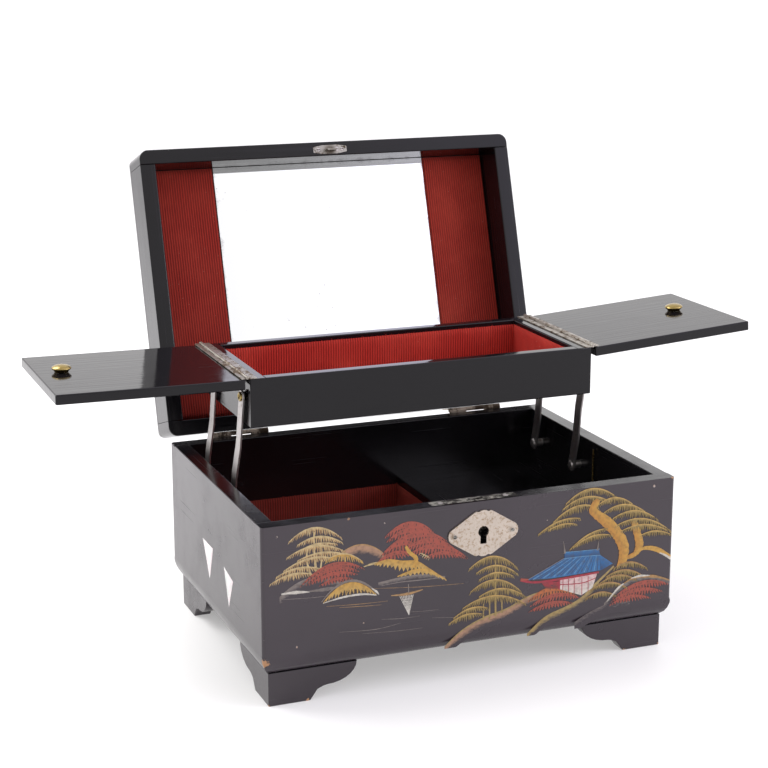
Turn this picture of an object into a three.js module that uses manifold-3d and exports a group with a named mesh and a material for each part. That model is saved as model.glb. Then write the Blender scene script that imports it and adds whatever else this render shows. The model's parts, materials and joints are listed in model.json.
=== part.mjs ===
// A lacquered jewelry box with a tray that rises as the lid opens, two fold-over flaps,
// a mirror in the lid, a box lock and a small musical movement. Millimetres, +Z up,
// +X to the right, +Y to the back. The origin is the bottom centre of the whole object.
import * as THREE from 'three';
import Module from 'manifold-3d';
import { mergeVertices } from 'three/addons/utils/BufferGeometryUtils.js';

// ---------- driving dimensions ----------
const WIDTH = 265; // base and lid footprint along X
const DEPTH = 188.5; // base and lid footprint along Y
const UNDERSIDE = 20.5; // height of the base's bottom face, on its feet
const RIM = 110; // height of the base's rim
const WALL = 10;
const FLOOR_THICK = 7.5;
const EDGE_IN = 6.5; // rounded bottom edge, measured in from the side
const EDGE_UP = 12; // rounded bottom edge, measured up from the bottom

const FOOT_INSET = 4.5;
const FOOT_THICK = 11;
const FOOT_TOE = 25.5; // length of a foot's flat on the ground
const FOOT_TOP = 54.5;

const PARTITION_X = 22.5;
const PARTITION_THICK = 6;
const COVER_TOP = 72;
const COVER_THICK = 5;
const LINING = 1.25;

const LID_HEIGHT = 35;
const LID_OPEN = 107.8; // degrees back from closed
const LID_GAP = 0.3; // glue line between lid boards
const LID_CORNER = 6;
const HINGE_BACK = 1.75; // hinge axis behind the back face
const HINGE_UP = 1.25; // hinge axis above the base's rim
const HINGE_X = 84.5;
const HINGE_LENGTH = 38;
const MIRROR_HALF = 76.5;
const MIRROR_DEPTH = 25; // mirror face above the lid's rim plane

const TRAY_HALF = 113.25;
const TRAY_FRONT = -18.75;
const TRAY_BACK = 81;
const TRAY_TOP = 176.5;
const TRAY_BOTTOM = 146.25;
const TRAY_SIDE = 10;
const TRAY_END = 7;
const TRAY_FLOOR = 5;

const ARM_LENGTH = 75.25;
const ARM_LEAN = 13.9; // degrees forward of upright
const ARM_WIDTH = 8;
const ARM_THICK = 1.25;
const ARM_LOW_X = 116; // inner face at the base pivot
const ARM_HIGH_X = 114.5; // inner face at the tray pivot
const ARM_BEND_FROM = 20; // its gentle bend, measured along it from the base pivot
const ARM_BEND_TO = 42;
const PIVOT_RADIUS = 1.5;
const PIVOT_HOLE = 1.6;
const PIVOT_Z = 90.5;
const FRONT_PIVOT_Y = 10.75;
const REAR_PIVOT_Y = 66.75;
const PIN_COLLAR = 2.6; // radius of a pivot pin's collar
const PIN_HEAD = 3.2; // radius of its domed head
const SHAKE = 0.15; // clearance on each face of a pivoted bar

const LINK_X = 116;
const LINK_THICK = 1.25;
const LINK_HALF = 2.75;
const LINK_BEHIND = 28.5; // its pivot on the tray, behind the rear arm's
const LINK_ABOVE = 1.5;
const LINK_PIN_DEEP = 6; // its pin into the tray's side
const LINK_PIN_END = 0.5; // space past the end of that pin
const LINK_PIN_SHORT = 0.6; // its other pin stops this far from the lid's side
const LINK_LID_REACH = 38; // from the lid's hinge axis, along the lid
const LINK_LID_DEPTH = 2; // into the lid from the hinge axis

const FLAP_AXIS_OUT = 1.3; // flap hinge axis outside the tray's side
const FLAP_AXIS_UP = 0.85; // flap hinge axis above the tray's top
const FLAP_REACH = 114.25; // from its hinge axis to its tip
const FLAP_THICK = 6.15;
const FLAP_INNER = 1.4;
const FLAP_LEFT_TILT = 0.8;
const FLAP_RIGHT_TILT = 4;
const FLAP_TOP = -1.1; // measured from the hinge axis
const KNOB_LEFT_X = 99; // from the flap's hinge axis
const KNOB_RIGHT_X = 90;
const KNOB_Y = 36;
const KNOB_LIFT = 0.3; // glue under a knob

const KEYHOLE_X = 4;
const KEYHOLE_Z = 91.5; // middle of its round part
const KEYHOLE_RADIUS = 3.4;
const KEYHOLE_SLOT = 2; // half-width of its slot
const KEYHOLE_DROP = 7.5; // from its middle to the bottom of the slot
const ESCUTCHEON_Z = 90.5;
const ESCUTCHEON_HALF = 22.5;
const ESCUTCHEON_TALL = 13.6;
const ESCUTCHEON_PLATE = 1;
const ESCUTCHEON_NAIL = 18.5; // from its middle to each nail
const ROOT_SHIFT_Y = -44.5; // brings the bounding box's centre to the origin

const HINGE_Y = DEPTH / 2 + HINGE_BACK;
const HINGE_Z = RIM + HINGE_UP;
const LEAN = THREE.MathUtils.degToRad(ARM_LEAN);
const OPEN = THREE.MathUtils.degToRad(LID_OPEN);
const REACH_FORWARD = ARM_LENGTH * Math.sin(LEAN);
const REACH_UP = ARM_LENGTH * Math.cos(LEAN);

// ---------- materials ----------
const finish = (color, roughness, metalness) => ({ color, roughness, metalness });
const FINISHES = {
  lacquer: finish(0x17151a, 0.18, 0.0),
  fabric: finish(0xa83a28, 0.9, 0.0),
  mirror: finish(0xe8ecee, 0.05, 1.0),
  steel: finish(0xc4c4c0, 0.35, 1.0),
  brass: finish(0xc9962e, 0.3, 1.0),
  pewter: finish(0xb8ab9a, 0.4, 1.0),
};

// ---------- solids ----------
const wasm = await Module();
wasm.setup();

function toSolid(geometry) {
  const bare = geometry.index ? geometry.toNonIndexed() : geometry.clone();
  for (const name of Object.keys(bare.attributes)) {
    if (name !== 'position') bare.deleteAttribute(name);
  }
  const merged = mergeVertices(bare, 1e-4);
  return new wasm.Manifold(new wasm.Mesh({
    numProp: 3,
    vertProperties: new Float32Array(merged.attributes.position.array),
    triVerts: new Uint32Array(merged.index.array),
  }));
}

function toGeometry(solid) {
  const mesh = solid.getMesh();
  const geometry = new THREE.BufferGeometry();
  const places = [];
  for (let i = 0; i < mesh.vertProperties.length; i += mesh.numProp) {
    places.push(...mesh.vertProperties.slice(i, i + 3));
  }
  geometry.setAttribute('position', new THREE.Float32BufferAttribute(places, 3));
  geometry.setIndex([...mesh.triVerts]);
  geometry.computeVertexNormals();
  return geometry;
}

function box([x0, x1], [y0, y1], [z0, z1]) {
  const geometry = new THREE.BoxGeometry(x1 - x0, y1 - y0, z1 - z0);
  geometry.translate((x0 + x1) / 2, (y0 + y1) / 2, (z0 + z1) / 2);
  return geometry;
}

function extrude(points, length) {
  const shape = points instanceof THREE.Shape
    ? points
    : new THREE.Shape(points.map(([a, b]) => new THREE.Vector2(a, b)));
  return new THREE.ExtrudeGeometry(shape, { depth: length, bevelEnabled: false, curveSegments: 6 });
}

// A (y, z) outline carried from x0 to x1.
function alongX(points, x0, x1) {
  const turn = new THREE.Matrix4().set(0, 0, 1, x0, 1, 0, 0, 0, 0, 1, 0, 0, 0, 0, 0, 1);
  return extrude(points, x1 - x0).applyMatrix4(turn);
}

// An (x, z) outline carried from y0 to y1.
function alongY(points, y0, y1) {
  const turn = new THREE.Matrix4().set(1, 0, 0, 0, 0, 0, -1, y1, 0, 1, 0, 0, 0, 0, 0, 1);
  return extrude(points, y1 - y0).applyMatrix4(turn);
}

// An (x, y) outline carried from z0 to z1.
function alongZ(points, z0, z1) {
  return extrude(points, z1 - z0).translate(0, 0, z0);
}

// A turned shape about the X axis from (radius, x) points, first and last on the axis.
function turnedX(points, y, z, sides = 24) {
  const profile = points.map(([radius, x]) => new THREE.Vector2(radius, x));
  return new THREE.LatheGeometry(profile, sides).rotateZ(-Math.PI / 2).translate(0, y, z);
}

// A turned shape about the Z axis from (radius, z) points, first and last on the axis.
function turnedZ(points, x, y, sides = 24) {
  const profile = points.map(([radius, z]) => new THREE.Vector2(radius, z));
  return new THREE.LatheGeometry(profile, sides).rotateX(Math.PI / 2).translate(x, y, 0);
}

function cut(from, ...tools) {
  return toGeometry(tools.reduce((solid, tool) => solid.subtract(toSolid(tool)), toSolid(from)));
}

function common(first, ...others) {
  return toGeometry(others.reduce((solid, other) => solid.intersect(toSolid(other)), toSolid(first)));
}

function join(first, ...others) {
  return toGeometry(others.reduce((solid, other) => solid.add(toSolid(other)), toSolid(first)));
}

function add(group, name, slot, geometry) {
  const mesh = new THREE.Mesh(geometry, new THREE.MeshStandardMaterial(FINISHES[slot]));
  mesh.name = name;
  group.add(mesh);
  return mesh;
}

function makeGroup(parent, x, y, z) {
  const group = new THREE.Group();
  group.position.set(x, y, z);
  parent.add(group);
  return group;
}

const root = new THREE.Group();
root.position.y = ROOT_SHIFT_Y;

// ---------- base ----------
const HALF_W = WIDTH / 2;
const HALF_D = DEPTH / 2;
const IN_X = HALF_W - WALL;
const IN_Y = HALF_D - WALL;

// Upright section of the body, half as wide as half, with its two bottom corners rounded.
function bodySection(half) {
  const points = [];
  const steps = 5;
  for (let i = 0; i <= steps; i += 1) {
    const turn = (i / steps) * (Math.PI / 2);
    points.push([half - EDGE_IN * (1 - Math.sin(turn)), UNDERSIDE + EDGE_UP * (1 - Math.cos(turn))]);
  }
  const left = points.map(([a, z]) => [-a, z]).reverse();
  return [...points, [half, RIM], [-half, RIM], ...left];
}

const frontToBack = alongX(bodySection(HALF_D), -HALF_W, HALF_W);
const sideToSide = alongY(bodySection(HALF_W), -HALF_D, HALF_D);

// Keyhole: a round hole with a slot below it, through the front board.
function keyholeTools(y0, y1) {
  const hole = new THREE.CylinderGeometry(KEYHOLE_RADIUS, KEYHOLE_RADIUS, y1 - y0, 20)
    .translate(KEYHOLE_X, (y0 + y1) / 2, KEYHOLE_Z);
  const slotX = [KEYHOLE_X - KEYHOLE_SLOT, KEYHOLE_X + KEYHOLE_SLOT];
  const slot = box(slotX, [y0, y1], [KEYHOLE_Z - KEYHOLE_DROP, KEYHOLE_Z]);
  return [hole, slot];
}

const LOCK = {
  caseX: [-22, 22],
  caseY: [-90, -86.5],
  caseZ: [80, 109],
  plateX: [-27.5, 27.5],
  plateY: [-92, -85],
  plateZ: [109, 110],
  roomX: [-12, 14],
  roomY: [-89.25, -87.25],
  roomZ: [97.5, 106],
  slotX: [-4, 6],
};

function grown([low, high], by) {
  return [low - by, high + by];
}

const frontBoard = common(
  box([-HALF_W, HALF_W], [-HALF_D, -IN_Y], [UNDERSIDE, RIM]),
  frontToBack,
  sideToSide,
);
add(root, 'base_front', 'lacquer', cut(
  frontBoard,
  box(grown(LOCK.caseX, 0.25), grown(LOCK.caseY, 0.25), [LOCK.caseZ[0] - 0.25, RIM + 1]),
  box(grown(LOCK.plateX, 0.25), grown(LOCK.plateY, 0.25), [LOCK.plateZ[0] - 0.125, RIM + 1]),
  ...keyholeTools(-HALF_D - 1, LOCK.caseY[0]),
));
add(root, 'base_back', 'lacquer', common(
  box([-HALF_W, HALF_W], [IN_Y, HALF_D], [UNDERSIDE, RIM]),
  frontToBack,
  sideToSide,
));
add(root, 'base_left', 'lacquer', common(box([-HALF_W, -IN_X], [-IN_Y, IN_Y], [UNDERSIDE, RIM]), sideToSide));

const FLOOR_TOP = UNDERSIDE + FLOOR_THICK;
const MOVEMENT_X = 72;
const MOVEMENT_Y = -24;
const KEY_X = MOVEMENT_X + 14;
const WIRE_X = 121.25;
const WIRE_Y = -10;
const WIRE_TOP = 106;
const WIRE_RADIUS = 0.6;

add(root, 'base_right', 'lacquer', common(box([IN_X, HALF_W], [-IN_Y, IN_Y], [UNDERSIDE, RIM]), sideToSide));
add(root, 'base_bottom', 'lacquer', cut(
  box([-IN_X, IN_X], [-IN_Y, IN_Y], [UNDERSIDE, FLOOR_TOP]),
  turnedZ([[0, 0], [3.5, 0], [3.5, 40], [0, 40]], KEY_X, MOVEMENT_Y),
));

// Bracket foot: a toe, a small step, then a quarter curve up to the base.
function footOutline() {
  const points = [[0, 0], [FOOT_TOE, 0], [FOOT_TOE + 4.5, 6.25], [FOOT_TOE + 8, 7.75]];
  const centre = FOOT_TOE + 10.5;
  const steps = 7;
  for (let i = 0; i <= steps; i += 1) {
    const turn = (i / steps) * (Math.PI / 2);
    points.push([
      centre + (FOOT_TOP - centre) * Math.sin(turn),
      UNDERSIDE - (UNDERSIDE - 8.25) * Math.cos(turn),
    ]);
  }
  points.push([0, UNDERSIDE]);
  return points;
}

const footGeometry = join(alongY(footOutline(), 0, FOOT_THICK), alongX(footOutline(), 0, FOOT_THICK));
for (const [name, sx, sy] of [
  ['foot_front_left', -1, -1],
  ['foot_front_right', 1, -1],
  ['foot_rear_left', -1, 1],
  ['foot_rear_right', 1, 1],
]) {
  const mesh = add(root, name, 'lacquer', footGeometry);
  mesh.position.set(sx * (HALF_W - FOOT_INSET), sy * (HALF_D - FOOT_INSET), 0);
  mesh.scale.set(-sx, -sy, 1);
}

// ---------- inside the base ----------
const COVER_BOTTOM = COVER_TOP - COVER_THICK;

// An open-topped thin box of cloth-covered card, filling the space it is given.
function liner([x0, x1], [y0, y1], [z0, z1]) {
  const inner = [[x0 + LINING, x1 - LINING], [y0 + LINING, y1 - LINING], [z0 + LINING, z1 + 1]];
  return cut(box([x0, x1], [y0, y1], [z0, z1]), box(...inner));
}

add(root, 'partition', 'lacquer', box(
  [PARTITION_X, PARTITION_X + PARTITION_THICK],
  [-IN_Y, IN_Y],
  [FLOOR_TOP, COVER_BOTTOM],
));
add(root, 'movement_cover', 'lacquer', cut(
  box([PARTITION_X, IN_X], [-IN_Y, IN_Y], [COVER_BOTTOM, COVER_TOP]),
  box([WIRE_X - 1, IN_X + 1], [WIRE_Y - 1, WIRE_Y + 1], [COVER_BOTTOM - 1, COVER_TOP + 1]),
));
add(root, 'compartment_lining', 'fabric', liner(
  [-IN_X, PARTITION_X],
  [-IN_Y, IN_Y],
  [FLOOR_TOP, COVER_BOTTOM],
));

// ---------- lock ----------
const lockRoom = box(LOCK.roomX, LOCK.roomY, LOCK.roomZ);
const lockSlot = box(LOCK.slotX, LOCK.roomY, [LOCK.roomZ[1] - 1, LOCK.plateZ[1] + 1]);
const lockCase = join(
  box(LOCK.caseX, LOCK.caseY, [LOCK.caseZ[0], LOCK.caseZ[1] + 0.5]),
  box(LOCK.plateX, LOCK.plateY, LOCK.plateZ),
);
const lockKeyhole = keyholeTools(LOCK.caseY[0] - 1, LOCK.roomY[1] - 0.5);
add(root, 'lock_body', 'steel', cut(lockCase, lockRoom, lockSlot, ...lockKeyhole));
add(root, 'lock_bolt', 'brass', box(
  [LOCK.roomX[0] + 0.5, LOCK.slotX[0] - 0.5],
  grown(LOCK.roomY, -0.25),
  grown(LOCK.roomZ, -0.5),
));

// Escutcheon: a lozenge with a round ear at each side and three small scallops at top and bottom.
function escutcheonOutline() {
  const half = ESCUTCHEON_HALF;
  const tall = ESCUTCHEON_TALL;
  const shape = new THREE.Shape();
  const quarters = [[1, 1], [-1, 1], [-1, -1], [1, -1]];
  const corner = [
    [half - 0.4, 2],
    [half - 1.6, 3.7],
    [half - 4, 5.2],
    [half / 2, tall * 0.72],
    [5.8, tall * 0.97],
    [4.6, tall],
    [3, tall * 0.97],
    [1.6, tall * 1.03],
  ];
  shape.moveTo(half, 0);
  for (const [sx, sy] of quarters) {
    const forward = sx * sy > 0;
    const points = forward ? corner : [...corner].reverse();
    points.forEach(([x, z]) => shape.lineTo(sx * x, sy * z));
    if (forward) shape.lineTo(0, sy * tall * 1.04);
    else shape.lineTo(sx * half, 0);
  }
  return shape;
}

const plateFront = -HALF_D - ESCUTCHEON_PLATE;
const escutcheonPlate = alongY(escutcheonOutline(), plateFront, -HALF_D)
  .translate(KEYHOLE_X, 0, ESCUTCHEON_Z);
const nails = [-ESCUTCHEON_NAIL, ESCUTCHEON_NAIL].map((x) => new THREE.SphereGeometry(1.4, 10, 6)
  .scale(1, 0.6, 1)
  .translate(KEYHOLE_X + x, plateFront, ESCUTCHEON_Z));
const plateKeyhole = keyholeTools(-HALF_D - 3, -HALF_D + 1);
add(root, 'escutcheon', 'pewter', cut(join(escutcheonPlate, ...nails), ...plateKeyhole));

// ---------- lid, modelled closed about its hinge axis and turned back ----------
const lid = makeGroup(root, 0, HINGE_Y, HINGE_Z);
lid.rotation.x = -OPEN;
const LID_BACK = -HINGE_BACK;
const LID_FRONT = LID_BACK - DEPTH;
const LID_RIM = -1;
const LID_CROWN = LID_RIM + LID_HEIGHT;
const LID_BOARD = 8;
const RAIL_TOP = LID_CROWN - LID_BOARD - LID_GAP;
const FRONT_RAIL = 9.5;

// A rectangle in plan whose front corners, back corners or both are rounded.
function roundedPlan([x0, x1], [y0, y1], frontRadius, backRadius) {
  const shape = new THREE.Shape();
  const corners = [
    [x0, y0, frontRadius, 1, 1, Math.PI],
    [x1, y0, frontRadius, -1, 1, -Math.PI / 2],
    [x1, y1, backRadius, -1, -1, 0],
    [x0, y1, backRadius, 1, -1, Math.PI / 2],
  ];
  corners.forEach(([x, y, radius, sx, sy, from], i) => {
    if (radius) shape.absarc(x + sx * radius, y + sy * radius, radius, from, from + Math.PI / 2);
    else if (i) shape.lineTo(x, y);
    else shape.moveTo(x, y);
  });
  return shape;
}

// A rectangle in section whose two top corners are rounded.
function crownSection([a0, a1], [z0, z1], radius) {
  return roundedPlan([a0, a1], [z0, z1], 0, radius);
}

const lidX = [-HALF_W, HALF_W];
const lidY = [LID_FRONT, LID_BACK];

// The lock's striking plate, a long hexagon let into the lid's rim, with a tongue for the lock's slot.
const CATCH_HALF = 12;
const CATCH_Y = LID_FRONT + 5.3;
const CATCH_THICK = 1;
const TONGUE_Y = LID_FRONT + 6;
const TONGUE_DROP = 5;

function catchOutline(margin) {
  const end = CATCH_HALF + margin;
  const wide = 3 + margin;
  const narrow = 1.9 + margin;
  const shoulder = 5.5;
  return [
    [-end, CATCH_Y - narrow],
    [-shoulder, CATCH_Y - wide],
    [shoulder, CATCH_Y - wide],
    [end, CATCH_Y - narrow],
    [end, CATCH_Y + narrow],
    [shoulder, CATCH_Y + wide],
    [-shoulder, CATCH_Y + wide],
    [-end, CATCH_Y + narrow],
  ];
}

add(lid, 'lid_front', 'lacquer', cut(
  alongZ(roundedPlan(lidX, [LID_FRONT, LID_FRONT + FRONT_RAIL], LID_CORNER, 0), LID_RIM, RAIL_TOP),
  alongZ(catchOutline(0.25), LID_RIM - 1, LID_RIM + CATCH_THICK + 0.3),
));
add(lid, 'lid_back', 'lacquer', alongZ(
  roundedPlan(lidX, [LID_BACK - WALL, LID_BACK], 0, LID_CORNER),
  LID_RIM,
  RAIL_TOP,
));
const betweenRails = [LID_FRONT + FRONT_RAIL + LID_GAP, LID_BACK - WALL - LID_GAP];
add(lid, 'lid_left', 'lacquer', box([-HALF_W, -IN_X], betweenRails, [LID_RIM, RAIL_TOP]));
add(lid, 'lid_right', 'lacquer', box([IN_X, HALF_W], betweenRails, [LID_RIM, RAIL_TOP]));

const boardZ = [LID_CROWN - LID_BOARD, LID_CROWN];
add(lid, 'lid_top', 'lacquer', common(
  alongZ(roundedPlan(lidX, lidY, LID_CORNER, LID_CORNER), ...boardZ),
  alongX(crownSection(lidY, boardZ, LID_CORNER), ...lidX),
  alongY(crownSection(lidX, boardZ, LID_CORNER), ...lidY),
));
add(lid, 'mirror', 'mirror', box(
  [-MIRROR_HALF, MIRROR_HALF],
  betweenRails,
  [LID_RIM + MIRROR_DEPTH, RAIL_TOP],
));
const padX = [MIRROR_HALF + LID_GAP, IN_X - LID_GAP];
const padZ = [LID_RIM + MIRROR_DEPTH - 1, RAIL_TOP];
add(lid, 'lid_pad_right', 'fabric', box(padX, betweenRails, padZ));
add(lid, 'lid_pad_left', 'fabric', box([-padX[1], -padX[0]], betweenRails, padZ));

add(lid, 'lid_catch', 'steel', join(
  alongZ(catchOutline(0), LID_RIM, LID_RIM + CATCH_THICK),
  box([-3.25, 3.25], [TONGUE_Y - 0.75, TONGUE_Y + 0.75], [LID_RIM - TONGUE_DROP, LID_RIM + CATCH_THICK / 2]),
));

// ---------- lid hinges ----------
const KNUCKLE = 1.5;
const HINGE_HALF = HINGE_LENGTH / 2;
const MIDDLE_HALF = 6.5;
const LEAF_DROP = 12;

function rodX([x0, x1], radius, sides = 16) {
  return new THREE.CylinderGeometry(radius, radius, x1 - x0, sides)
    .rotateZ(-Math.PI / 2)
    .translate((x0 + x1) / 2, 0, 0);
}

function rodY([y0, y1], radius, sides = 10) {
  return new THREE.CylinderGeometry(radius, radius, y1 - y0, sides).translate(0, (y0 + y1) / 2, 0);
}

function baseLeaf() {
  const clear = MIDDLE_HALF + 0.3;
  const leaf = cut(
    box([-HINGE_HALF, HINGE_HALF], [-HINGE_BACK, -HINGE_BACK + 0.75], [-LEAF_DROP, 0]),
    box([-clear, clear], [-3, 3], [-KNUCKLE - 0.3, 1]),
  );
  return join(
    leaf,
    rodX([-HINGE_HALF, -clear], KNUCKLE),
    rodX([clear, HINGE_HALF], KNUCKLE),
    rodX([-HINGE_HALF, HINGE_HALF], 0.75),
  );
}

function lidLeaf() {
  const plate = box([-HINGE_HALF, HINGE_HALF], [-HINGE_BACK + 0.3, -0.85], [0, LEAF_DROP]);
  const clears = [-1, 1].map((side) => box(
    side < 0 ? [-HINGE_HALF - 1, -MIDDLE_HALF] : [MIDDLE_HALF, HINGE_HALF + 1],
    [-3, 3],
    [-1, KNUCKLE + 0.4],
  ));
  const whole = join(cut(plate, ...clears), rodX([-MIDDLE_HALF, MIDDLE_HALF], KNUCKLE));
  return cut(whole, rodX([-MIDDLE_HALF - 1, MIDDLE_HALF + 1], 0.85));
}

for (const [side, sx] of [['left', -1], ['right', 1]]) {
  add(root, `hinge_base_leaf_${side}`, 'steel', baseLeaf()).position.set(sx * HINGE_X, HINGE_Y, HINGE_Z);
  add(lid, `hinge_lid_leaf_${side}`, 'steel', lidLeaf()).position.set(sx * HINGE_X, 0, 0);
}

// ---------- tray ----------
const TRAY_IN = TRAY_HALF - TRAY_SIDE;
const trayZ = [TRAY_BOTTOM, TRAY_TOP];
const linkStart = new THREE.Vector3(
  0,
  REAR_PIVOT_Y - REACH_FORWARD + LINK_BEHIND,
  PIVOT_Z + REACH_UP + LINK_ABOVE,
);
const traySide = cut(
  box([TRAY_IN, TRAY_HALF], [TRAY_FRONT, TRAY_BACK], trayZ),
  rodX([TRAY_HALF - LINK_PIN_DEEP - LINK_PIN_END, TRAY_HALF + 1], PIVOT_HOLE, 24)
    .translate(0, linkStart.y, linkStart.z),
);
add(root, 'tray_left', 'lacquer', traySide).scale.x = -1;
add(root, 'tray_right', 'lacquer', traySide);
add(root, 'tray_front', 'lacquer', box([-TRAY_IN, TRAY_IN], [TRAY_FRONT, TRAY_FRONT + TRAY_END], trayZ));
add(root, 'tray_back', 'lacquer', box([-TRAY_IN, TRAY_IN], [TRAY_BACK - TRAY_END, TRAY_BACK], trayZ));
const trayInY = [TRAY_FRONT + TRAY_END, TRAY_BACK - TRAY_END];
const trayFloorTop = TRAY_BOTTOM + TRAY_FLOOR;
add(root, 'tray_bottom', 'lacquer', box([-TRAY_IN, TRAY_IN], trayInY, [TRAY_BOTTOM, trayFloorTop]));
add(root, 'tray_lining', 'fabric', liner([-TRAY_IN, TRAY_IN], trayInY, [trayFloorTop, TRAY_TOP - 3]));

// ---------- lifting arms, on both sides ----------
function armGeometry() {
  const end = ARM_WIDTH / 2;
  const top = ARM_LENGTH + end;
  const side = [
    [ARM_LOW_X, -end],
    [ARM_LOW_X + ARM_THICK, -end],
    [ARM_LOW_X + ARM_THICK, ARM_BEND_FROM],
    [ARM_HIGH_X + ARM_THICK, ARM_BEND_TO],
    [ARM_HIGH_X + ARM_THICK, top],
    [ARM_HIGH_X, top],
    [ARM_HIGH_X, ARM_BEND_TO],
    [ARM_LOW_X, ARM_BEND_FROM],
  ];
  return cut(
    common(alongY(side, -end, end), stadium(ARM_LENGTH, end, ARM_HIGH_X - 1, ARM_LOW_X + 3)),
    pivotHole(0),
    pivotHole(ARM_LENGTH),
  );
}

// A flat bar with round ends, from the X axis up to a height, between two X planes.
function stadium(length, radius, x0, x1) {
  const shape = new THREE.Shape();
  shape.absarc(0, 0, radius, Math.PI, 2 * Math.PI);
  shape.absarc(0, length, radius, 0, Math.PI);
  return alongX(shape, x0, x1);
}

function pivotHole(height) {
  return rodX([ARM_HIGH_X - 2, ARM_LOW_X + 4], PIVOT_HOLE, 24).translate(0, 0, height);
}

// A shouldered pivot pin on the X axis: collar against the wood, shank, domed head.
function pivotPin(wood, collarEnd, headStart) {
  const way = Math.sign(headStart - wood);
  const profile = [
    [0, wood],
    [PIN_COLLAR, wood],
    [PIN_COLLAR, collarEnd],
    [PIVOT_RADIUS, collarEnd],
    [PIVOT_RADIUS, headStart],
    [PIN_HEAD, headStart],
    [PIN_HEAD * 0.78, headStart + way * 0.9],
    [0, headStart + way * 1.1],
  ];
  return turnedX(way > 0 ? profile : profile.reverse(), 0, 0);
}

const arm = armGeometry();
const basePin = pivotPin(IN_X, ARM_LOW_X + ARM_THICK + SHAKE, ARM_LOW_X - SHAKE);
const trayPin = pivotPin(TRAY_HALF, ARM_HIGH_X - SHAKE, ARM_HIGH_X + ARM_THICK + SHAKE);

// The lift link's far end, on the lid, where the lid stands at rest.
const linkEnd = new THREE.Vector3(0, -LINK_LID_REACH, LINK_LID_DEPTH)
  .applyAxisAngle(new THREE.Vector3(1, 0, 0), -OPEN)
  .add(new THREE.Vector3(0, HINGE_Y, HINGE_Z));
const linkSpan = linkEnd.clone().sub(linkStart);
const LINK_LENGTH = linkSpan.length();
const link = join(
  stadium(LINK_LENGTH, LINK_HALF, LINK_X, LINK_X + LINK_THICK),
  rodX([LINK_X + LINK_THICK / 2, IN_X - LINK_PIN_SHORT], PIVOT_RADIUS).translate(0, 0, LINK_LENGTH),
  rodX([TRAY_HALF - LINK_PIN_DEEP, LINK_X + LINK_THICK / 2], PIVOT_RADIUS),
);

for (const [side, sx] of [['left', -1], ['right', 1]]) {
  for (const [end, pivotY] of [['front', FRONT_PIVOT_Y], ['rear', REAR_PIVOT_Y]]) {
    const armMesh = add(root, `arm_${end}_${side}`, 'steel', arm);
    armMesh.position.set(0, pivotY, PIVOT_Z);
    armMesh.rotation.x = LEAN;
    armMesh.scale.x = sx;
    const screw = add(root, `base_pivot_${end}_${side}`, 'steel', basePin);
    screw.position.set(0, pivotY, PIVOT_Z);
    screw.scale.x = sx;
    const rivet = add(root, `tray_rivet_${end}_${side}`, 'brass', trayPin);
    rivet.position.set(0, pivotY - REACH_FORWARD, PIVOT_Z + REACH_UP);
    rivet.scale.x = sx;
  }
  const linkMesh = add(root, `lift_link_${side}`, 'steel', link);
  linkMesh.position.copy(linkStart);
  linkMesh.rotation.x = Math.atan2(-linkSpan.y, linkSpan.z);
  linkMesh.scale.x = sx;
}

// ---------- flaps on piano hinges ----------
const TRAY_LEAF_WIDTH = 4.2;
const FLAP_LEAF_WIDTH = 2.4;
const LEAF_THICK = 0.7;
const PIANO_RADIUS = 1.15;
const PIANO_KNUCKLES = 9;
const NEAR = 1.4; // from the axis to a leaf's plain edge, clear of the knuckles
const pianoY = [TRAY_FRONT + 0.5, TRAY_BACK - 0.5];
const pianoPitch = (pianoY[1] - pianoY[0]) / PIANO_KNUCKLES;

// Every other knuckle of a piano hinge, as stretches along Y.
function knuckles(first) {
  const stretches = [];
  for (let i = first; i < PIANO_KNUCKLES; i += 2) {
    stretches.push([pianoY[0] + i * pianoPitch + 0.15, pianoY[0] + (i + 1) * pianoPitch - 0.15]);
  }
  return stretches;
}

// A piano hinge leaf along Y, reaching a width out from the hinge axis at x = 0, between two heights.
// Its knuckles are the ones counted from first, and it is cut back from the other leaf's.
function pianoLeaf(first, [z0, z1], width) {
  const plate = cut(
    box([NEAR - 1, NEAR + width], pianoY, [z0, z1]),
    ...knuckles(1 - first).map((stretch) => box([NEAR - 2, NEAR], grown(stretch, 0.3), [z0 - 1, z1 + 1])),
  );
  return join(plate, ...knuckles(first).map((stretch) => rodY(stretch, PIANO_RADIUS)));
}

const trayLeaf = join(
  pianoLeaf(0, [-FLAP_AXIS_UP, -FLAP_AXIS_UP + LEAF_THICK], TRAY_LEAF_WIDTH),
  rodY(pianoY, 0.5),
);
const flapLeaf = cut(
  pianoLeaf(1, [-0.05 - LEAF_THICK, -0.05], FLAP_LEAF_WIDTH),
  rodY(grown(pianoY, 1), 0.65),
);
const flap = alongZ(
  roundedPlan([FLAP_INNER, FLAP_REACH], [TRAY_FRONT, TRAY_BACK], 0, 0),
  FLAP_TOP - FLAP_THICK,
  FLAP_TOP,
);

// A low mushroom-shaped knob: a narrow foot, a rim and a shallow dome.
const KNOB_PROFILE = [
  [0, 0],
  [4.2, 0],
  [4.6, 0.8],
  [5.9, 1.9],
  [6, 2.4],
  [5.5, 3],
  [4.2, 3.7],
  [2.2, 4.2],
  [0, 4.35],
];
const knob = turnedZ(KNOB_PROFILE, 0, 0, 28);

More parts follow.
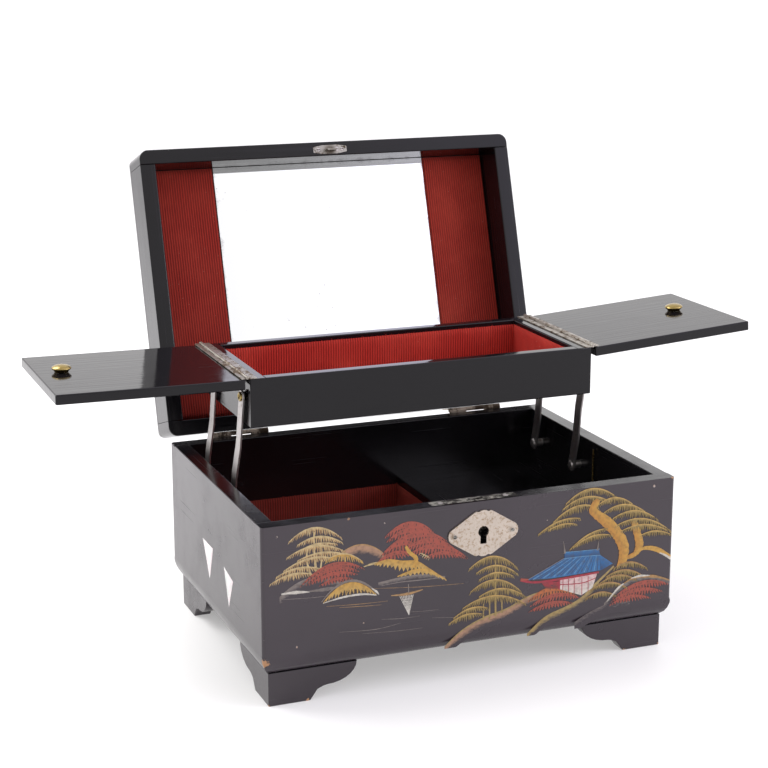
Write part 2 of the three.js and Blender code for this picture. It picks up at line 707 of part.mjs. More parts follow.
for (const [side, sx, tilt, knobX] of [
  ['left', -1, FLAP_LEFT_TILT, KNOB_LEFT_X],
  ['right', 1, FLAP_RIGHT_TILT, KNOB_RIGHT_X],
]) {
  const axisX = sx * (TRAY_HALF + FLAP_AXIS_OUT);
  const leaf = add(root, `flap_hinge_tray_leaf_${side}`, 'steel', trayLeaf);
  leaf.position.set(axisX, 0, TRAY_TOP + FLAP_AXIS_UP);
  leaf.scale.x = -sx;
  const turned = makeGroup(root, axisX, 0, TRAY_TOP + FLAP_AXIS_UP);
  turned.rotation.y = THREE.MathUtils.degToRad(-sx * tilt);
  add(turned, `flap_${side}`, 'lacquer', flap).scale.x = sx;
  add(turned, `flap_hinge_flap_leaf_${side}`, 'steel', flapLeaf).scale.x = sx;
  add(turned, `knob_${side}`, 'brass', knob).position.set(sx * knobX, KNOB_Y, FLAP_TOP + KNOB_LIFT);
}

// ---------- musical movement, under the cover ----------
const BED_HALF_X = 26;
const BED_HALF_Y = 18;
const BED_THICK = 3;
const PLATE_TOP = FLOOR_TOP + BED_THICK;
const CYLINDER_Z = PLATE_TOP + 11;
const CYLINDER_X = [MOVEMENT_X - 23, MOVEMENT_X - 1];
const CYLINDER_RADIUS = 6.5;
const SPINDLE_RADIUS = 1.2;
const POST_THICK = 2;
const COMB_Y = [MOVEMENT_Y - 17, MOVEMENT_Y - 7]; // its teeth reach the cylinder
const COMB_BLOCK = 7; // depth of the block under the comb
const SPRING_RADIUS = 11.5;
const SPRING_TOP = 46;
const KEY_SHAFT = 2.5;
const KEY_HALF = 11;
const KEY_BOW = [5, 15];
const WIRE_LOW = 44;

function movementFrame() {
  const sunk = PLATE_TOP - 1; // parts standing on the bed start inside it
  const posts = [CYLINDER_X[0] - POST_THICK - 0.25, CYLINDER_X[1] + 0.25].map((x) => box(
    [x, x + POST_THICK],
    [MOVEMENT_Y - 4, MOVEMENT_Y + 4],
    [sunk, CYLINDER_Z + 4],
  ));
  const combBlock = box(CYLINDER_X, [COMB_Y[0], COMB_Y[0] + COMB_BLOCK], [sunk, CYLINDER_Z]);
  const comb = box(CYLINDER_X, COMB_Y, [CYLINDER_Z - 0.5, CYLINDER_Z + 0.75]);
  const airBrake = box([MOVEMENT_X - 22, MOVEMENT_X - 10], [MOVEMENT_Y + 10, MOVEMENT_Y + 17], [sunk, 40]);
  const springHousing = turnedZ(
    [[0, sunk], [SPRING_RADIUS, sunk], [SPRING_RADIUS, SPRING_TOP], [0, SPRING_TOP + 1]],
    KEY_X,
    MOVEMENT_Y,
  );
  const bed = box(
    [MOVEMENT_X - BED_HALF_X, MOVEMENT_X + BED_HALF_X],
    [MOVEMENT_Y - BED_HALF_Y, MOVEMENT_Y + BED_HALF_Y],
    [FLOOR_TOP, PLATE_TOP],
  );
  return cut(
    join(bed, ...posts, combBlock, comb, airBrake, springHousing),
    rodX(grown(CYLINDER_X, 4), SPINDLE_RADIUS + 0.1).translate(0, MOVEMENT_Y, CYLINDER_Z),
  );
}

add(root, 'movement_frame', 'brass', movementFrame());
add(root, 'movement_cylinder', 'brass', join(
  rodX(CYLINDER_X, CYLINDER_RADIUS, 24).translate(0, MOVEMENT_Y, CYLINDER_Z),
  rodX(grown(CYLINDER_X, 3), SPINDLE_RADIUS).translate(0, MOVEMENT_Y, CYLINDER_Z),
));
const shaftTop = FLOOR_TOP - 0.3;
add(root, 'winding_key', 'steel', join(
  turnedZ([[0, 14], [4, 14], [KEY_SHAFT, 17], [KEY_SHAFT, shaftTop], [0, shaftTop]], KEY_X, MOVEMENT_Y),
  box([KEY_X - KEY_HALF, KEY_X + KEY_HALF], [MOVEMENT_Y - 1.25, MOVEMENT_Y + 1.25], KEY_BOW),
));
add(root, 'stop_wire', 'brass', join(
  turnedZ(
    [[0, WIRE_LOW], [WIRE_RADIUS, WIRE_LOW], [WIRE_RADIUS, WIRE_TOP], [0, WIRE_TOP]],
    WIRE_X,
    WIRE_Y,
    10,
  ),
  rodX([MOVEMENT_X - 14, WIRE_X], WIRE_RADIUS, 10).translate(0, WIRE_Y, WIRE_LOW + WIRE_RADIUS),
));

export default root;
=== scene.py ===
"""A lacquered jewelry box whose tray rises with its lid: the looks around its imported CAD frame.

Everything is in metres in the frame's own axes, except the painting, which is laid out in
millimetres across from the middle of the base's front and up from the floor.
"""

import json
import math
import random

import bmesh
import bpy
from mathutils import Matrix, Vector, noise
from mathutils.bvhtree import BVHTree

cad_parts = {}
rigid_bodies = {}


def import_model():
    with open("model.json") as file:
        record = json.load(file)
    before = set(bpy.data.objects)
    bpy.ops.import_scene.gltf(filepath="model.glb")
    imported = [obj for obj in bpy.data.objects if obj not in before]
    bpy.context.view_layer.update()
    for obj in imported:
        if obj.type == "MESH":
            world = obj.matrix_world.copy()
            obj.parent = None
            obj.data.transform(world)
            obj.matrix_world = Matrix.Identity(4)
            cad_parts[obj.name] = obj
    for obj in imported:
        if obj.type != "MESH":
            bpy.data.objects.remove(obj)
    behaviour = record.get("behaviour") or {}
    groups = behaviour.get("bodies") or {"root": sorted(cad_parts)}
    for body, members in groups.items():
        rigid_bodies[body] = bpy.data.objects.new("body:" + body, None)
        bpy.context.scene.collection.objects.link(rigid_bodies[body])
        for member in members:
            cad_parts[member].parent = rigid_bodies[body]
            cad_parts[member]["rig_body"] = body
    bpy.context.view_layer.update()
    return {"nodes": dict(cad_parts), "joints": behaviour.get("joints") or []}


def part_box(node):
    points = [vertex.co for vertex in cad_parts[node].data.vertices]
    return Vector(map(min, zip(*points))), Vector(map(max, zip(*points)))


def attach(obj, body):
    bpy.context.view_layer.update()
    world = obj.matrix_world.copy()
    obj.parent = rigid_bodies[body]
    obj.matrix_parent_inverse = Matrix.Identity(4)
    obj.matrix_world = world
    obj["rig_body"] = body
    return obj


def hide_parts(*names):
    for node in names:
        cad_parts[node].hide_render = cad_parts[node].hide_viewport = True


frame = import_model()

MM = 0.001
rng = random.Random(11)

X, Y, Z = Vector((1, 0, 0)), Vector((0, 1, 0)), Vector((0, 0, 1))
NODES = frame["nodes"]
JOINTS = {joint["name"]: joint for joint in frame["joints"]}

# How far the lid is open as packed, and how far each flap slopes from level.
LID_OPEN = math.radians(107.8)
FLAP_TILT = {"left": math.radians(0.8), "right": math.radians(4)}
SIDES = (("left", -1), ("right", 1))

# Each turned body's own axes, in which its boards are square.
HINGE = Vector(JOINTS["lid_hinge"]["pos_m"])
LID_AXES = Matrix.Translation(HINGE) @ Matrix.Rotation(-LID_OPEN, 4, "X")
FLAP_AXES = {
    side: Matrix.Translation(Vector(JOINTS[f"flap_{side}_hinge"]["pos_m"]))
    @ Matrix.Rotation(-way * FLAP_TILT[side], 4, "Y")
    for side, way in SIDES
}
AXES = {"lid": LID_AXES, "flap_left": FLAP_AXES["left"], "flap_right": FLAP_AXES["right"]}

FRONT_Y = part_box("base_front")[0].y


def middle_of(node):
    low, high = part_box(node)
    return (low + high) / 2


# ---------- shaders ----------
class Graph:
    """A node tree, with short ways to add its nodes and join them."""

    def __init__(self, tree):
        self.tree = tree
        self.place = self.node("TexCoord").outputs["Object"]

    def node(self, kind, inputs=None, **settings):
        node = self.tree.nodes.new("ShaderNode" + kind)
        for name, value in settings.items():
            setattr(node, name, value)
        for socket, value in (inputs or {}).items():
            self.put(node.inputs[socket], value)
        return node

    def put(self, socket, value):
        if isinstance(value, bpy.types.NodeSocket):
            self.tree.links.new(value, socket)
        else:
            socket.default_value = value

    def attribute(self, name):
        return self.node("Attribute", attribute_name=name)

    def calc(self, operation, first, second=0.0):
        return self.node("Math", {0: first, 1: second}, operation=operation).outputs[0]

    def vector(self, operation, first, second=(0.0, 0.0, 0.0)):
        node = self.node("VectorMath", {0: first, 1: second}, operation=operation)
        return node.outputs["Value" if operation in ("DISTANCE", "DOT_PRODUCT") else "Vector"]

    def parts(self, vector):
        return self.node("SeparateXYZ", {0: vector}).outputs

    def grain(self, size, detail=3.0, place=None, stretch=None, roughness=0.55):
        """Noise from 0 to 1 whose lumps are about size metres across."""
        place = self.place if place is None else place
        if stretch:
            place = self.vector("MULTIPLY", place, stretch)
        inputs = {"Vector": place, "Scale": 0.5 / size, "Detail": detail, "Roughness": roughness}
        return self.node("TexNoise", inputs).outputs[0]

    def spots(self, size, place=None):
        """Distance to the nearest of many scattered points, about size metres apart."""
        inputs = {"Vector": self.place if place is None else place, "Scale": 1 / size}
        return self.node("TexVoronoi", inputs).outputs["Distance"]

    def ease(self, value, low, high):
        """0 where value is at low, 1 where it is at high, smooth between."""
        inputs = {0: value, 1: low, 2: high}
        return self.node("MapRange", inputs, interpolation_type="SMOOTHSTEP").outputs[0]

    def mix(self, share, first, second):
        """Two colours, or two numbers, mixed by share."""
        if all(isinstance(v, (int, float)) or getattr(v, "type", "") == "VALUE" for v in (first, second)):
            return self.node("Mix", {0: share, 2: first, 3: second}).outputs[0]
        first, second = (v if isinstance(v, bpy.types.NodeSocket) else (*v, 1) for v in (first, second))
        return self.node("Mix", {0: share, 6: first, 7: second}, data_type="RGBA").outputs[2]

    def bump(self, height, depth, below=None):
        inputs = {"Height": height, "Distance": depth, "Strength": 1.0}
        if below is not None:
            inputs["Normal"] = below
        return self.node("Bump", inputs).outputs[0]

    def near(self, point, radius):
        """1 at a point, fading to 0 at radius."""
        return self.ease(self.vector("DISTANCE", self.place, tuple(point)), radius, 0.0)


class Shader(Graph):
    """A material and its principled surface."""

    def __init__(self, name):
        self.material = bpy.data.materials.new(name)
        self.material.use_nodes = True
        self.surface = self.material.node_tree.nodes["Principled BSDF"]
        super().__init__(self.material.node_tree)

    def set(self, **values):
        """Sets the surface's sockets by name, with _ for a space."""
        for name, value in values.items():
            self.put(self.surface.inputs[name.replace("_", " ")], value)


def scaled(color, factor):
    return tuple(channel * factor for channel in color)


WOOD = (0.40, 0.21, 0.10)
PRIMER = (0.42, 0.36, 0.33)
BLACK = (0.0050, 0.0044, 0.0055)
HAZY = (0.028, 0.0205, 0.0265)
INNER_MIDDLE = (0.0, -0.0445, 0.2)  # lacquer facing this point is on an inner or an upper face


def coat_color(s, film):
    """Lacquer's colour: black, or greyed by a scuffed film on the faces that look outwards."""
    cloud = s.grain(0.05, 4)
    black = s.mix(cloud, scaled(BLACK, 0.8), scaled(BLACK, 1.5))
    if not film:
        return black
    grey = s.mix(s.ease(cloud, 0.3, 0.7), scaled(HAZY, 0.88 * film), scaled(HAZY, 1.14 * film))
    normal = s.node("NewGeometry").outputs["True Normal"]
    outwards = s.vector("DOT_PRODUCT", s.vector("SUBTRACT", s.place, INNER_MIDDLE), normal)
    return s.mix(s.ease(outwards, 0.0, 0.03), black, grey)


def coat_polish(s, roughness):
    """Lacquer's roughness, higher where it is smudged."""
    smudge = s.ease(s.grain(0.03, 5, roughness=0.65), 0.42, 0.72)
    return s.mix(smudge, roughness * 0.75, roughness * 1.45)


def lacquer(name, roughness, wear=0.3, streaks=1.0, film=0.0, ior=1.5, chips=(), specks=()):
    """Black lacquer over wood, worn through in nicks along its board's edges.

    wear is how much of the edges is worn, streaks how strongly the brush marks show, and film how
    grey its outer faces are. chips, down to the wood, and specks are (point, radius) pairs.
    """
    s = Shader(name)
    board = s.attribute("board").outputs["Vector"]
    half = s.attribute("board_half").outputs["Vector"]

    # How far the nearest edge of the board is: the middle one of three distances to its faces.
    x, y, z = s.parts(s.vector("SUBTRACT", half, s.vector("ABSOLUTE", board)))
    nearer, farther = s.calc("MINIMUM", x, y), s.calc("MAXIMUM", x, y)
    edge = s.calc("MAXIMUM", nearer, s.calc("MINIMUM", farther, z))

    rough_edge = s.calc("ADD", edge, s.calc("MULTIPLY", s.grain(0.0006, 2), -0.0006))
    along_edge = s.ease(rough_edge, 0.0008, -0.0003)
    patches = s.ease(s.grain(0.007, 5, roughness=0.75), 0.71 - 0.08 * wear, 0.77 - 0.08 * wear)
    nicks = s.calc("MULTIPLY", along_edge, patches)
    ragged = s.calc("MULTIPLY", s.grain(0.0018, 6, roughness=0.85), -1.7)
    for point, radius in specks:
        nicks = s.calc("MAXIMUM", nicks, s.ease(s.calc("ADD", s.near(point, radius), ragged), 0.0, 0.15))
    torn = 0.0
    for point, radius in chips:
        torn = s.calc("MAXIMUM", torn, s.ease(s.calc("ADD", s.near(point, radius), ragged), -0.06, 0.02))
    worn = s.calc("MAXIMUM", nicks, torn)

    fibre = s.grain(0.0009, 3, board, (0.12, 1.0, 1.0))
    wood = s.mix(fibre, scaled(WOOD, 0.45), scaled(WOOD, 1.35))
    bare = s.mix(torn, s.mix(s.ease(s.grain(0.0012, 3), 0.4, 0.9), PRIMER, WOOD), wood)
    s.set(Base_Color=s.mix(worn, coat_color(s, film), bare), IOR=ior)

    scratch = s.ease(s.grain(0.0005, 1, board, (0.012, 1.0, 1.0)), 0.70, 0.76)
    polish = s.calc("ADD", coat_polish(s, roughness), s.calc("MULTIPLY", scratch, 0.16))
    s.set(Roughness=s.mix(worn, polish, 0.75))

    brushed = s.grain(0.0016, 2, board, (0.035, 1.0, 1.0))
    shape = s.bump(s.grain(0.016, 2), 0.00010)
    shape = s.bump(brushed, 0.000035 * streaks, shape)
    shape = s.bump(scratch, -0.00001, shape)
    shape = s.bump(worn, -0.00022, shape)
    s.set(Normal=shape)
    return s.material


def metal(name, color, roughness, stain, stained=0.4, lump=0.002, pits=0.00003, aged_and_shaded=()):
    """Worn metal: bright where it is rubbed, with stains and fine pits.

    stained is how much of it the stains cover and lump their size. The last argument is the (point,
    radius) pairs around which it is dull all over: wear, and painted shade round nail heads.
    """
    s = Shader(name)
    stains = s.ease(s.grain(lump, 5, roughness=0.7), 0.62 - 0.3 * stained, 0.78 - 0.3 * stained)
    specks = s.ease(s.spots(lump * 0.8), 0.16, 0.05)
    dull = s.calc("MAXIMUM", stains, s.calc("MULTIPLY", specks, 0.8))
    # Dull round given points: wear round the catch, and painted shade with patina round the escutcheon's
    # nails.
    for point, radius in aged_and_shaded:
        dull = s.calc("MAXIMUM", dull, s.near(point, radius))
    bright = s.mix(s.grain(lump * 6, 2), color, scaled(color, 0.82))
    s.set(Base_Color=s.mix(dull, bright, stain), Metallic=1.0)
    fine = s.grain(0.00035, 3)
    s.set(Roughness=s.calc("ADD", s.mix(dull, roughness, roughness + 0.3), s.calc("MULTIPLY", fine, 0.12)))
    shape = s.bump(fine, pits)
    s.set(Normal=s.bump(dull, -pits * 1.5, shape))
    return s.material


THREAD = 0.42 * MM


def ribbed_cloth(name, ridge, groove, pale):
    """Rayon cloth woven in ribs: the ribs are in the mesh, the threads across them are here. The grooves
    between ribs and the dips between threads get a darker colour: painted shade.
    """
    s = Shader(name)
    depth = s.attribute("rib").outputs["Fac"]
    run = s.attribute("cloth").outputs["Vector"]
    across, along, _ = s.parts(run)
    wave = s.calc("SINE", s.calc("MULTIPLY", along, 2 * math.pi / THREAD))
    jitter = s.grain(0.0012, 3, run, (1.0, 0.3, 1.0))
    weave = s.calc("ADD", s.calc("MULTIPLY", wave, 0.35), jitter)
    worn = s.ease(s.grain(0.018, 4), 0.35, 0.75)
    # Painted shade: a darker colour down in the grooves between the ribs.
    color = s.mix(s.ease(depth, 0.1, 0.9), groove, ridge)
    color = s.mix(s.calc("MULTIPLY", worn, 0.45), color, pale)
    # Painted shade: the dips between the threads are darkened towards the groove colour.
    color = s.mix(s.calc("MULTIPLY", s.ease(weave, 0.25, 0.95), 0.35), color, groove)
    specks = s.ease(s.spots(0.004, run), 0.07, 0.03)
    color = s.mix(s.calc("MULTIPLY", specks, 0.5), color, (0.5, 0.3, 0.24))
    s.set(Base_Color=color, Roughness=0.85, Sheen_Weight=0.08, Sheen_Roughness=0.4)
    s.set(Sheen_Tint=(1.0, 0.45, 0.35, 1), Specular_IOR_Level=0.25)
    s.set(Normal=s.bump(weave, 0.00009))
    return s.material


def looking_glass(name):
    """Silvered glass, foxed along its edges, with a little dust."""
    s = Shader(name)
    board = s.attribute("board").outputs["Vector"]
    half = s.attribute("board_half").outputs["Vector"]
    x, y, z = s.parts(s.vector("SUBTRACT", half, s.vector("ABSOLUTE", board)))
    edge = s.calc("MINIMUM", x, y)
    creep = s.calc("ADD", edge, s.calc("MULTIPLY", s.grain(0.004, 4, roughness=0.7), -0.012))
    foxed = s.ease(creep, -0.0045, -0.0085)
    specks = s.calc("MULTIPLY", s.ease(s.spots(0.007), 0.10, 0.05), s.ease(s.grain(0.03, 2), 0.5, 0.6))
    marred = s.calc("MAXIMUM", s.calc("MULTIPLY", foxed, 0.55), s.calc("MULTIPLY", specks, 0.5))
    s.set(Base_Color=s.mix(marred, (0.93, 0.945, 0.95), (0.16, 0.14, 0.13)), Metallic=1.0)
    haze = s.ease(s.grain(0.025, 5), 0.45, 0.8)
    s.set(Roughness=s.mix(marred, s.mix(haze, 0.015, 0.07), 0.45), Coat_Weight=0.5, Coat_Roughness=0.02)
    s.set(Normal=s.bump(s.grain(0.05, 2), 0.00004))
    return s.material


def paint(name, soft, metallic):
    """Brushed-on paint, broken where its cover is thin. soft is how gradually it breaks up."""
    s = Shader(name)
    color = s.attribute("tint").outputs["Color"]
    cover = s.attribute("cover").outputs["Fac"]
    dry = s.grain(0.0006, 4, None, (0.4, 1.0, 1.0), 0.75)
    held = s.ease(s.calc("SUBTRACT", cover, dry), -soft, soft)
    uneven = s.mix(s.ease(s.grain(0.0012, 3), 0.35, 0.8), color, s.mix(0.5, color, (0.05, 0.03, 0.02)))
    s.set(Base_Color=s.mix(held, coat_color(s, 1.0), uneven), IOR=1.5)
    s.set(Metallic=s.calc("MULTIPLY", held, metallic), Roughness=s.mix(held, coat_polish(s, 0.24), 0.5))
    s.set(Normal=s.bump(s.calc("MULTIPLY", dry, held), 0.00012))
    return s.material


def shell(name):
    """Mother-of-pearl: pale, with faint green and pink bands."""
    s = Shader(name)
    bands = s.grain(0.006, 3, None, (1.0, 0.6, 1.6))
    color = s.mix(s.ease(bands, 0.35, 0.5), (0.62, 0.70, 0.64), (0.78, 0.66, 0.68))
    color = s.mix(s.ease(bands, 0.5, 0.66), color, (0.80, 0.80, 0.76))
    s.set(Base_Color=color, Roughness=0.16, Coat_Weight=0.6, Specular_IOR_Level=0.8)
    s.set(Normal=s.bump(s.grain(0.0015, 4), 0.00006))
    return s.material


# ---------- CAD boards and fittings with soft edges ----------
def surface_of(mesh):
    corners = [v.co.copy() for v in mesh.vertices]
    return BVHTree.FromPolygons(corners, [tuple(p.vertices) for p in mesh.polygons])


SURFACES = {name: surface_of(node.data) for name, node in NODES.items()}
TOUCHING = 0.35 * MM
BENT = math.radians(38)  # an edge bent more than this is eased


def boxes_meet(a, b, gap):
    (a_low, a_high), (b_low, b_high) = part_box(a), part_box(b)
    return all(a_low[i] - gap <= b_high[i] and b_low[i] - gap <= a_high[i] for i in range(3))


def joined_edge(edge, others):
    """Whether an edge lies along a joint with another piece, where it isn't eased."""
    a, b = (v.co for v in edge.verts)
    touching = 0
    for share in (0.2, 0.5, 0.8):
        point = a.lerp(b, share)
        touching += any(other.find_nearest(point, TOUCHING)[0] is not None for other in others)
    return touching >= 2


def corners_of(points):
    """The lowest and highest corners of some points."""
    low, high = (Vector(pick(p[i] for p in points) for i in range(3)) for pick in (min, max))
    return low, high


def box_in(node, axes):
    """A node's lowest and highest corners in a body's own axes."""
    turned_back = axes.inverted()
    return corners_of([turned_back @ v.co for v in NODES[node].data.vertices])


def record(obj, name, kind, field, values):
    """Keeps one value per point on a mesh, for its material to read."""
    obj.data.attributes.new(name, kind, "POINT").data.foreach_set(field, values)


def note_board(obj, axes):
    """Records each point's place in the board's own axes, longest first, and half the board's size."""
    turned_back = axes.inverted()
    points = [turned_back @ v.co for v in obj.data.vertices]
    low, high = corners_of(points)
    order = sorted(range(3), key=lambda i: low[i] - high[i])
    middle, half = (low + high) / 2, (high - low) / 2
    record(obj, "board", "FLOAT_VECTOR", "vector", [(p - middle)[k] for p in points for k in order])
    record(obj, "board_half", "FLOAT_VECTOR", "vector", [half[k] for k in order] * len(points))


def finished(obj, material, body, slot, *nodes):
    """Gives a new piece its material and body, and hides the CAD nodes it stands for."""
    obj.data.materials.clear()
    obj.data.materials.append(material)
    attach(obj, body)
    if nodes:
        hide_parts(*nodes)
    return obj


def dressed(node, material, slot, ease=0.5 * MM, steps=3, big=None):
    """A CAD piece with its edges eased by ease. big is (test, width) for edges eased more."""
    body = NODES[node]["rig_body"]
    bm = bmesh.new()
    bm.from_mesh(NODES[node].data)
    bmesh.ops.remove_doubles(bm, verts=bm.verts, dist=1e-6)
    bmesh.ops.dissolve_limit(bm, angle_limit=math.radians(0.4), verts=bm.verts, edges=bm.edges)
    near = [other for other in SURFACES if other != node and boxes_meet(node, other, TOUCHING)]
    others = [SURFACES[other] for other in near]
    for test, width, segments in ([(*big, 5)] if big else []) + [(None, ease, steps)]:
        sharp = [
            e
            for e in bm.edges
            if e.is_manifold
            and e.calc_face_angle() > BENT
            and not joined_edge(e, others)
            and (test is None or test(e))
        ]
        bmesh.ops.bevel(
            bm, geom=sharp, offset=width, segments=segments, profile=0.5, affect="EDGES", clamp_overlap=True
        )
    for face in bm.faces:
        face.smooth = True
    mesh = bpy.data.meshes.new(f"{node}_finished")
    bm.to_mesh(mesh)
    bm.free()
    mesh.set_sharp_from_angle(angle=math.radians(42))
    obj = bpy.data.objects.new(f"{node}_finished", mesh)
    bpy.context.scene.collection.objects.link(obj)
    note_board(obj, AXES.get(body, Matrix.Identity(4)))
    obj.modifiers.new("even_shading", "WEIGHTED_NORMAL").keep_sharp = True
    return finished(obj, material, body, slot, node)


def new_piece(name, points, faces, smooth=True):
    mesh = bpy.data.meshes.new(name)
    mesh.from_pydata([tuple(p) for p in points], [], faces)
    mesh.validate()
    mesh.shade_smooth() if smooth else mesh.shade_flat()
    obj = bpy.data.objects.new(name, mesh)
    bpy.context.scene.collection.objects.link(obj)
    return obj


base_low, base_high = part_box("base_front")
TORN_EDGES = [
    (Vector((base_low.x + 1 * MM, FRONT_Y + 1 * MM, base_low.z + 8 * MM)), 9 * MM),
    (Vector((base_high.x - 2 * MM, FRONT_Y, base_high.z)), 3.4 * MM),
    (Vector((-80 * MM, FRONT_Y, base_high.z - 0.5 * MM)), 3.0 * MM),
    (Vector((26 * MM, FRONT_Y + 3 * MM, base_low.z)), 4 * MM),
]
# Small pale specks on the front: across, up and radius.
PALE_SPECKS = [
    (Vector((x * MM, FRONT_Y, z * MM)), radius * MM)
    for x, z, radius in (
        (-123, 104, 3.0),
        (-58, 104, 2.4),
        (-112, 36, 2.0),
        (-71, 45, 2.2),
        (46, 93, 2.0),
        (118, 106, 2.6),
    )
]
TOE_LENGTH = 24 * MM
TOE_CHIPS = []
for side, way in SIDES:
    low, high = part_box(f"foot_front_{side}")
    outer = low.x if way < 0 else high.x
    TOE_CHIPS.append((Vector((outer, low.y, low.z)), 5.5 * MM))
    TOE_CHIPS.append((Vector((outer - way * TOE_LENGTH, low.y, low.z)), 4.5 * MM))

OUTSIDE = lacquer("lacquer_outside", 0.22, film=1.0, chips=TORN_EDGES, specks=PALE_SPECKS)
FEET = lacquer("lacquer_feet", 0.26, film=0.85, chips=TOE_CHIPS)
LID_COAT = lacquer("lacquer_lid", 0.14, streaks=1.5, ior=1.36)
GLOSS = lacquer("lacquer_gloss", 0.10, wear=0.2, streaks=2.4, ior=1.33)
INSIDE = lacquer("lacquer_inside", 0.16, wear=0.0, ior=1.42)

PLATE = middle_of("escutcheon")
PLATE_NAIL_OUT = 18.5 * MM  # from the plate's middle to each of its nails
PLATE_NAILS = [Vector((PLATE.x + way * PLATE_NAIL_OUT, FRONT_Y - 1.6 * MM, PLATE.z)) for _, way in SIDES]
CATCH = middle_of("lid_catch")

NICKEL = metal("nickel", (0.50, 0.47, 0.46), 0.36, (0.30, 0.26, 0.21), 0.25, 0.0016)
HINGE_METAL = metal("hinge_metal", (0.40, 0.37, 0.33), 0.30, (0.11, 0.075, 0.05), 0.55, 0.0030, 0.00004)
BACK_HINGE = metal("back_hinge", (0.40, 0.33, 0.26), 0.36, (0.07, 0.05, 0.035), 0.65, 0.0040, 0.00005)
BRASS = metal("brass", (0.36, 0.265, 0.095), 0.17, (0.15, 0.09, 0.03), 0.35, 0.0030)
# Dull round the escutcheon's nails: patina, with painted shade in place of the nail heads' dark reflection.
PLATE_NAIL_PATINA_AND_SHADE = [(spot, 1.5 * MM) for spot in PLATE_NAILS]
PEWTER = metal("pewter", (0.55, 0.48, 0.41), 0.42, (0.42, 0.33, 0.24), 0.45, 0.0008, 0.00004, PLATE_NAIL_PATINA_AND_SHADE)
LOCK_STEEL = metal("lock_steel", (0.50, 0.48, 0.43), 0.38, (0.03, 0.027, 0.025), 0.85, 0.003, 0.00006)
WORN_CATCH = [(CATCH, 7 * MM)]
STRIKE = metal("strike_plate", (0.36, 0.34, 0.31), 0.30, (0.07, 0.05, 0.03), 0.50, 0.0016, aged_and_shaded=WORN_CATCH)
GLASS = looking_glass("mirror_glass")
# Each cloth's colours: on its ribs, in its grooves (painted shade), and where it is worn.
PAD_CLOTH = ribbed_cloth("lid_cloth", (0.36, 0.024, 0.013), (0.12, 0.0075, 0.0055), (0.39, 0.048, 0.028))
TRAY_CLOTH = ribbed_cloth("tray_cloth", (0.53, 0.034, 0.022), (0.18, 0.010, 0.008), (0.60, 0.074, 0.047))
WELL_CLOTH = ribbed_cloth("base_cloth", (0.30, 0.032, 0.020), (0.10, 0.010, 0.007), (0.31, 0.052, 0.036))


def upright_outer_corner(edge):
    a, b = (v.co for v in edge.verts)
    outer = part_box("base_front")[1].x - 0.1 * MM
    upright = abs(a.x - b.x) < 0.1 * MM and abs(a.y - b.y) < 0.1 * MM and abs(a.z - b.z) > 10 * MM
    return upright and abs(a.x) > outer


CORNER = 2.2 * MM  # rounding of the base's upright corners
for node in ("base_front", "base_back"):
    dressed(node, OUTSIDE, "lacquer", 0.6 * MM, 3, (upright_outer_corner, CORNER))


def pair(name):
    return [f"{name}_{side}" for side, _ in SIDES]


def four(name):
    return pair(f"{name}_front") + pair(f"{name}_rear")


# Each material with its slot, how far edges are eased in millimetres, in how many steps, and the nodes.
for material, slot, ease, steps, nodes in (
    (OUTSIDE, "lacquer", 0.6, 3, ["base_left", "base_right"]),
    (INSIDE, "lacquer", 0.3, 3, ["base_bottom"]),
    (INSIDE, "lacquer", 0.4, 3, ["partition"]),
    (INSIDE, "lacquer", 0.7, 3, ["movement_cover"]),
    (FEET, "lacquer", 0.6, 3, four("foot")),
    (LID_COAT, "lacquer", 0.7, 3, ["lid_front", "lid_back", "lid_left", "lid_right", "lid_top"]),
    (GLOSS, "lacquer", 0.7, 3, ["tray_left", "tray_right", "tray_front", "tray_back", "tray_bottom"]),
    (GLOSS, "lacquer", 0.8, 3, pair("flap")),
    (NICKEL, "steel", 0.2, 2, four("arm") + pair("lift_link")),
    (NICKEL, "steel", 0.15, 2, four("base_pivot")),
    (NICKEL, "steel", 0.3, 2, ["winding_key"]),
    (HINGE_METAL, "steel", 0.12, 2, pair("flap_hinge_tray_leaf") + pair("flap_hinge_flap_leaf")),
    (BACK_HINGE, "steel", 0.15, 2, pair("hinge_base_leaf") + pair("hinge_lid_leaf")),
    (LOCK_STEEL, "steel", 0.25, 2, ["lock_body"]),
    (STRIKE, "steel", 0.2, 2, ["lid_catch"]),
    (PEWTER, "pewter", 0.3, 3, ["escutcheon"]),
    (GLASS, "mirror", 0.4, 2, ["mirror"]),
    (BRASS, "brass", 0.25, 2, pair("knob") + ["lock_bolt"]),
    (BRASS, "brass", 0.2, 2, ["movement_frame", "movement_cylinder"]),
    (BRASS, "brass", 0.08, 1, ["stop_wire"]),
):
    for node in nodes:
        dressed(node, material, slot, ease * MM, steps)


# ---------- turned fittings: eyelets, screws and nails ----------
def turned(name, profile, centre, axis, material, body, slot, nodes=(), steps=32, groove=None):
    """A round piece from (radius, height) pairs about an axis. groove is a screw slot's half-width."""
    turn = Vector((0, 0, 1)).rotation_difference(Vector(axis)).to_matrix()
    points, faces = [], []
    for radius, height in profile:
        for k in range(steps):
            angle = 2 * math.pi * k / steps
            local = Vector((radius * math.cos(angle), radius * math.sin(angle), height))
            if groove and abs(local.y) < groove and height > 0:
                local.z -= 0.45 * MM
            points.append(Vector(centre) + turn @ local)
    for row in range(len(profile) - 1):
        for k in range(steps):
            a, b = row * steps + k, row * steps + (k + 1) % steps
            faces.append((a, b, b + steps, a + steps))
    for row, flip in ((0, True), (len(profile) - 1, False)):
        if profile[row][0] > 0:
            ring = [row * steps + k for k in range(steps)]
            faces.append(tuple(reversed(ring)) if flip else tuple(ring))
    obj = new_piece(name, points, faces)
    return finished(obj, material, body, slot, *nodes)


